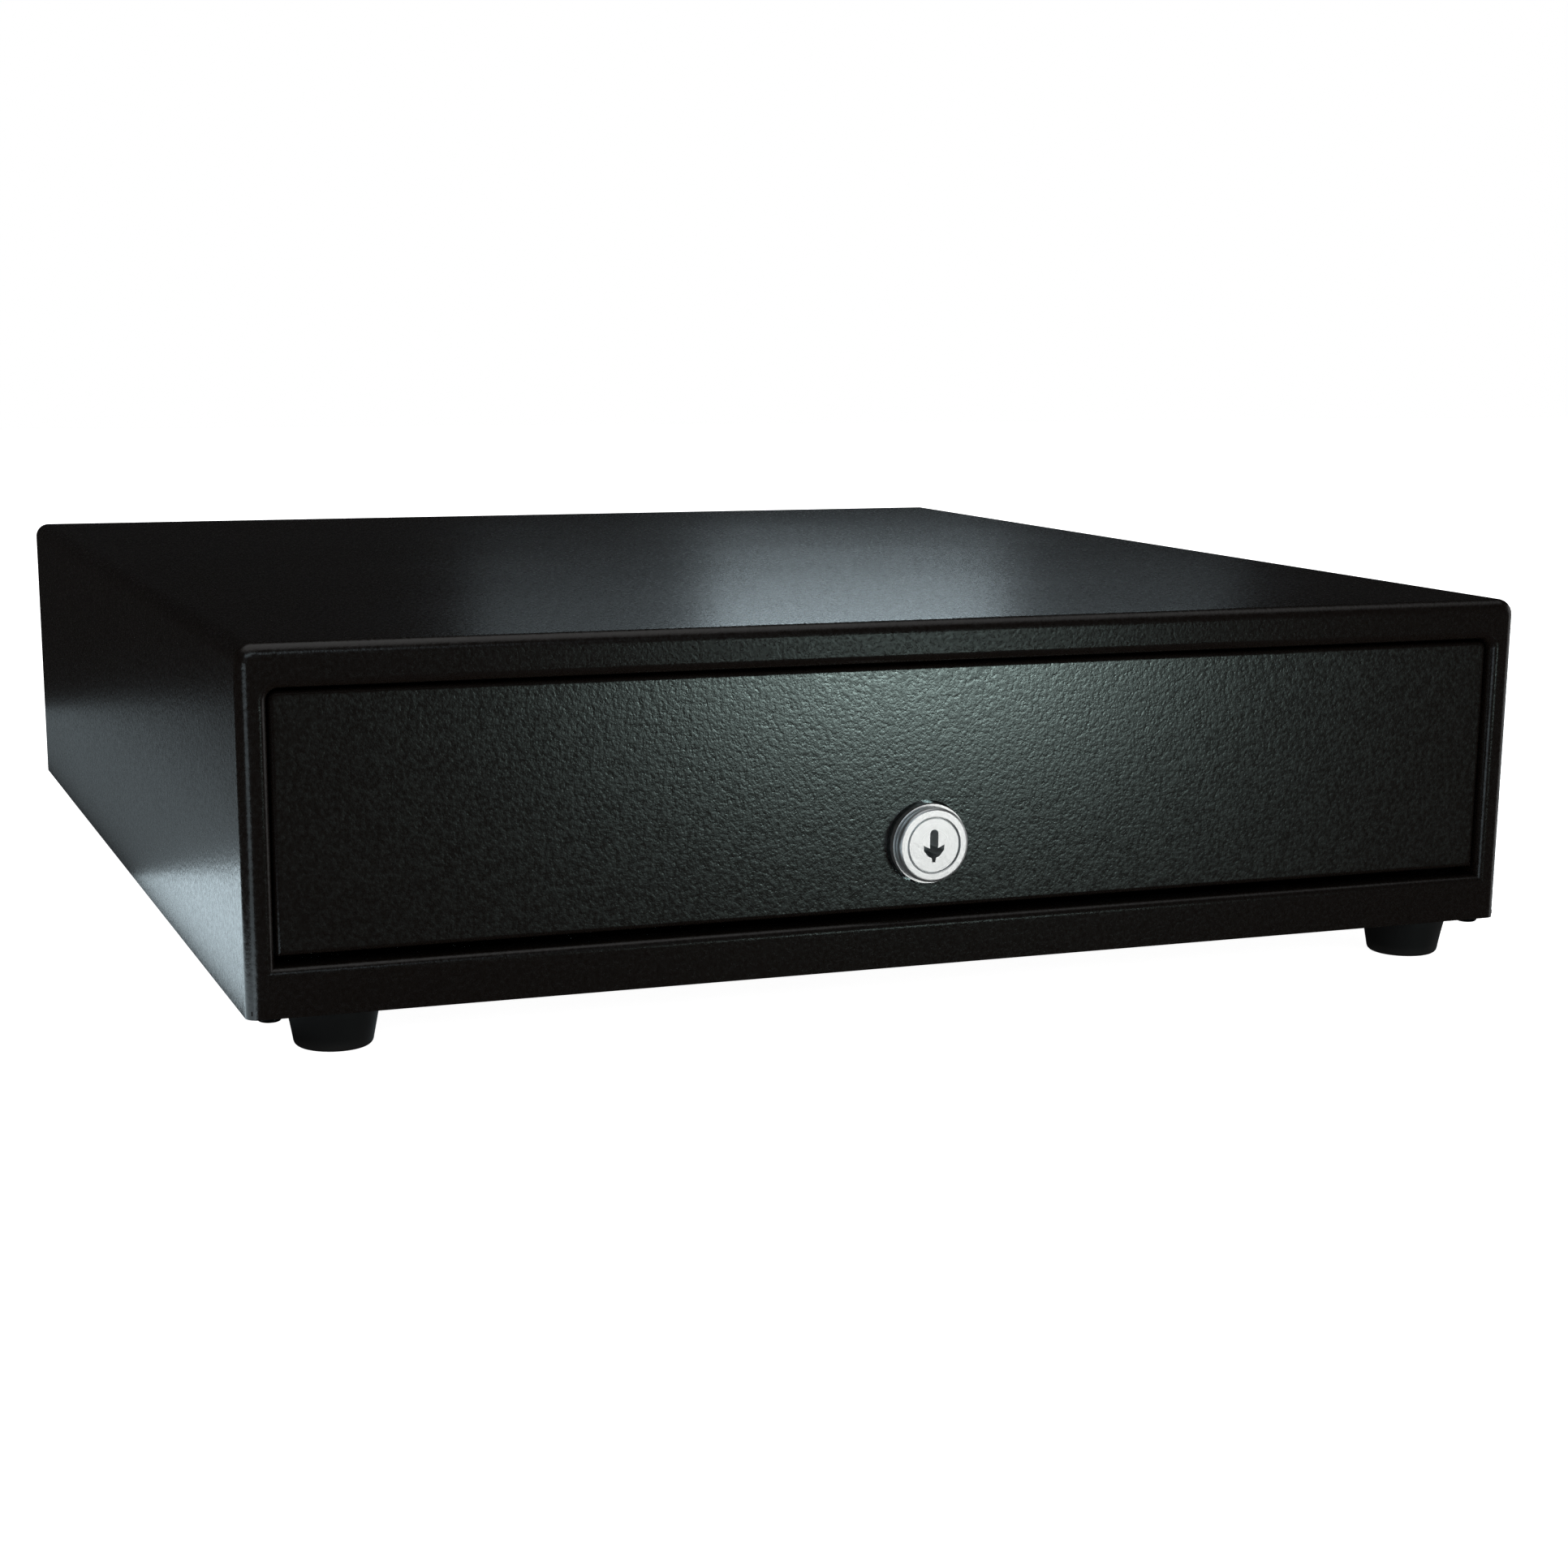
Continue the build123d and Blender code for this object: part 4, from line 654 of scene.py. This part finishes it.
# %% [markdown]
# ## Copper winding
# The wire fills the solenoid's bobbin, between its two cheeks. It runs round as one long helix,
# each turn beside the last. A curve with a bevel could draw it too. Here a loop sets a ring of
# points at each step along the wire, and faces join one ring to the next, so that the number of
# turns comes from the bobbin's own length. Only the top layer is made, because it hides the rest.

# %% Copper winding on the bobbin
coil_low, coil_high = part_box("solenoid_coil")
coil_axis = (coil_low + coil_high) / 2
WIRE = 0.5 * MM
CHEEK = 2.2 * MM        # the bobbin's end plates, with a little room
WINDING_R = 9.35 * MM   # to the middle of the top layer of wire
TURN_STEPS = 40
WIRE_SIDES = 6


def mesh_piece(name, material, build):
    """Makes a mesh piece: build(bm) fills it, then its normals are set and it is shaded smooth."""
    bm = bmesh.new()
    build(bm)
    bmesh.ops.recalc_face_normals(bm, faces=bm.faces)
    mesh = bpy.data.meshes.new(name)
    bm.to_mesh(mesh)
    bm.free()
    mesh.materials.append(material)
    mesh.shade_smooth()
    piece = bpy.data.objects.new(name, mesh)
    bpy.context.scene.collection.objects.link(piece)
    return piece


def winding(bm):
    turns = int((coil_high.x - coil_low.x - 2 * CHEEK) / WIRE)
    loops = []
    for step in range(turns * TURN_STEPS + 1):
        angle = 2 * math.pi * step / TURN_STEPS
        along = coil_low.x + CHEEK + WIRE / 2 + WIRE * (step / TURN_STEPS) * (1 - 1 / turns)
        loop = []
        for side in range(WIRE_SIDES):
            around = 2 * math.pi * side / WIRE_SIDES
            out = WINDING_R + WIRE / 2 * math.cos(around)
            loop.append(bm.verts.new((
                along + WIRE / 2 * math.sin(around),
                coil_axis.y + out * math.cos(angle),
                coil_axis.z + out * math.sin(angle),
            )))
        loops.append(loop)
    for before, after in zip(loops, loops[1:]):
        for side in range(WIRE_SIDES):
            nxt = (side + 1) % WIRE_SIDES
            bm.faces.new((before[side], before[nxt], after[nxt], after[side]))
    bm.faces.new(loops[0])
    bm.faces.new(loops[-1][::-1])
    print("winding:", turns, "turns")


copper = mesh_piece("copper_winding", enamelled_copper("enamelled_copper_wire"), winding)
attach(copper, "case")

# %% [markdown]
# ## Camera
# The drawer is seen from the front left, a little above its top, with a short telephoto lens.
# The camera stands about 0.7 m in front of the drawer's face. Its shift frames the drawer
# without tilting the camera further.

# %% Camera
CAMERA_PLACE = (-0.3274, -0.9319, 0.1967)
CAMERA_AZIMUTH = math.radians(-21.03)
CAMERA_ELEVATION = math.radians(12.70)
CAMERA_ROLL = math.radians(0.40)
FILM_WIDTH = 36.0  # mm
LENS = 62.57       # mm
SHIFT_X, SHIFT_Y = 0.0186, 0.0952

camera_data = bpy.data.cameras.new("camera")
camera = bpy.data.objects.new("camera", camera_data)
bpy.context.scene.collection.objects.link(camera)
camera.location = CAMERA_PLACE
turn = Matrix.Rotation(CAMERA_AZIMUTH, 3, "Z")
turn = turn @ Matrix.Rotation(math.pi / 2 - CAMERA_ELEVATION, 3, "X")
turn = turn @ Matrix.Rotation(CAMERA_ROLL, 3, "Z")
camera.rotation_euler = turn.to_euler()
camera_data.sensor_width = FILM_WIDTH
camera_data.lens = LENS
camera_data.shift_x = SHIFT_X
camera_data.shift_y = SHIFT_Y
camera_data.clip_start = 0.01
bpy.context.scene.camera = camera
print("camera", [round(v, 3) for v in camera.location], "lens", round(camera_data.lens, 2))

# %% [markdown]
# ## Studio
# Black goods are often shown on a lit white table in a room that is mostly dark: the table and
# the wall stay pure white, but the coat has little to mirror, and stays black. So the surround is
# white to the eye and to soft light. To a mirror it is dark all round, except for a pale panel
# on the right and a pale ceiling, which give the bright metal its contrast.

# %% Surround
DARK = 0.004  # the light that the dark parts of the room send to a mirror
PALE = 0.7    # and the light of its pale parts
world = bpy.data.worlds.new("white_surround")
bpy.context.scene.world = world
world.use_nodes = True
sky = world.node_tree
direction = add_node(sky, "ShaderNodeTexCoord").outputs["Generated"]
axes = add_node(sky, "ShaderNodeSeparateXYZ", Vector=direction)
panel = add_node(
    sky, "ShaderNodeMapRange", interpolation_type="SMOOTHSTEP", Value=axes.outputs["X"],
    From_Min=0.86, From_Max=0.98, To_Min=DARK, To_Max=PALE,
)
ceiling = add_node(
    sky, "ShaderNodeMapRange", interpolation_type="SMOOTHSTEP", Value=axes.outputs["Z"],
    From_Min=0.7, From_Max=0.97, To_Min=DARK, To_Max=PALE,
)
mirrored = add_node(
    sky, "ShaderNodeMath", operation="MAXIMUM",
    i0=panel.outputs["Result"], i1=ceiling.outputs["Result"],
)
ray = add_node(sky, "ShaderNodeLightPath")
strength = add_node(
    sky, "ShaderNodeMix", data_type="FLOAT", i0=ray.outputs["Is Glossy Ray"],
    i2=1.0, i3=mirrored.outputs["Value"],
)
connect(sky, sky.nodes["Background"], Color=(1, 1, 1, 1), Strength=strength.outputs[0])
bpy.context.scene.view_settings.view_transform = "Standard"
print("surround: white to the eye,", DARK, "to", PALE, "in a mirror")

# %% [markdown]
# ## Lit table
# The table is an opal sheet lit from below, so it shines a little under pure white, and takes no
# shadow. Mirrors don't see it, and lights shine through it, because several of the soft boxes
# stand below its level.

# %% Lit white table
TABLE_HALF = 4.0  # m, from the middle to an edge
opal, tree, shader, _ = new_material("lit_opal_table")
connect(
    tree, shader, Base_Color=linear("#f4f4f4"), Roughness=0.8, Specular_IOR_Level=0.0,
    Emission_Color=(1, 1, 1, 1), Emission_Strength=0.95,
)
corners = [
    (-TABLE_HALF, -TABLE_HALF, 0), (TABLE_HALF, -TABLE_HALF, 0),
    (TABLE_HALF, TABLE_HALF, 0), (-TABLE_HALF, TABLE_HALF, 0),
]
mesh = bpy.data.meshes.new("lit_table")
mesh.from_pydata(corners, [], [(0, 1, 2, 3)])
mesh.materials.append(opal)
table = bpy.data.objects.new("lit_table", mesh)
bpy.context.scene.collection.objects.link(table)
table.visible_glossy = False
table.visible_shadow = False
print("table:", 2 * TABLE_HALF, "m square")

# %% [markdown]
# ## A soft box
# Soft boxes, seen only in reflections, draw the shapes. Each is an area light that points from
# its place at a target. Light linking keeps a box to the parts that it is meant for, as a black
# card beside a real one would.

# %% Soft box helper
GREEN_TUBE = (0.76, 1.0, 0.95)
COOL_TUBE = (0.76, 0.92, 1.0)
WHITE_TUBE = (1.0, 1.0, 0.97)
front_y, back_y, top_z = cad_low.y, cad_high.y, cad_high.z


def soft_box(name, place, aim, size, power, colour, only=(), all_but=()):
    """A rectangular soft box, sized in metres, with its power in watts. It may light only some
    CAD nodes, or all but some."""
    data = bpy.data.lights.new(name, "AREA")
    data.shape = "RECTANGLE"
    data.size, data.size_y = size
    data.energy, data.color = power, colour
    made = bpy.data.objects.new(name, data)
    bpy.context.scene.collection.objects.link(made)
    made.location = place
    made.rotation_euler = (Vector(aim) - Vector(place)).to_track_quat("-Z", "Y").to_euler()
    made.visible_camera = False
    made.visible_diffuse = False
    if only or all_but:
        chosen = bpy.data.collections.new(name + "_nodes")
        for node_name in only or all_but:
            chosen.objects.link(nodes[node_name])
        for linked in chosen.collection_objects:
            linked.light_linking.link_state = "INCLUDE" if only else "EXCLUDE"
        made.light_linking.receiver_collection = chosen
    print(name, power, "W")


# %% [markdown]
# ## Light on the front
# A small box to the right makes the patch on the drawer's face. The case's frame would show too
# bright an edge from it, so the frame has a weaker box in the same place, and the lock has a
# larger white one of its own, for an even grey.

# %% Soft boxes on the front
front_place, front_aim = (0.372, -1.08, 0.035), (0.03, front_y, 0.07)
FRONT_SIZE = (0.18, 0.06)
soft_box(
    "soft_box_front", front_place, front_aim, FRONT_SIZE, 1.35, GREEN_TUBE,
    all_but=["case_shell", "lock_housing", "lock_plug"],
)
soft_box(
    "soft_box_lock", (0.40, -1.2, 0.0), (0.0, front_y, 0.05), (0.5, 0.4), 1.5, WHITE_TUBE,
    only=["lock_housing", "lock_plug"],
)
soft_box(
    "soft_box_frame", front_place, front_aim, FRONT_SIZE, 0.22, GREEN_TUBE, only=["case_shell"],
)

# %% [markdown]
# ## Light on the top and the left side
# Two boxes behind, one narrow and one wide, make the patch on the top and its soft fringe. Two
# that lie on the table beside the drawer light the foot of its left side.

# %% Soft boxes on the top and the left side
back_place, back_aim = (0.262, 0.45, 0.30), (0.02, front_y, top_z)
soft_box("soft_box_back", back_place, back_aim, (0.16, 0.09), 0.16, COOL_TUBE)
soft_box("soft_box_back_wide", back_place, back_aim, (0.42, 0.09), 0.06, COOL_TUBE)
BESIDE_X = -0.255    # x of the boxes that lie beside the left side
ON_TABLE_Z = 0.003
STRAIGHT_UP_Z = 1.0  # they aim at a point above themselves
soft_box(
    "soft_box_left", (BESIDE_X, -0.14, ON_TABLE_Z), (BESIDE_X, -0.14, STRAIGHT_UP_Z),
    (0.09, 0.34), 0.17, COOL_TUBE,
)
soft_box(
    "soft_box_left_back", (BESIDE_X, 0.25, ON_TABLE_Z), (BESIDE_X, 0.25, STRAIGHT_UP_Z),
    (0.09, 0.44), 0.03, COOL_TUBE,
)

# %% [markdown]
# ## Light for a walk round
# Four more boxes show the back, the far side and the open drawer to a viewer who walks round. The
# rear one lights only what is on the rear panel, and two are kept off the drawer's face.

# %% Soft boxes for the other sides
soft_box(
    "soft_box_rear", (0.0, 1.2, -0.25), (0.0, back_y, 0.06), (1.2, 0.35), 5.0, COOL_TUBE,
    only=["rear_panel", "rear_screws", "cable_jack"],
)
soft_box(
    "soft_box_high_front", (-0.5, -2.2, 1.05), (0.0, 0.0, top_z), (1.6, 0.5), 4.0, COOL_TUBE,
    all_but=["drawer_front"],
)
soft_box(
    "soft_box_far_left", (-1.1, -1.7, -0.25), (-0.2, 0.0, 0.06), (0.9, 0.4), 1.8, COOL_TUBE,
    all_but=["drawer_front"],
)
soft_box(
    "soft_box_far_right", (1.3, 1.2, -0.25), (0.2, 0.0, 0.06), (0.9, 0.4), 5.0, COOL_TUBE,
)
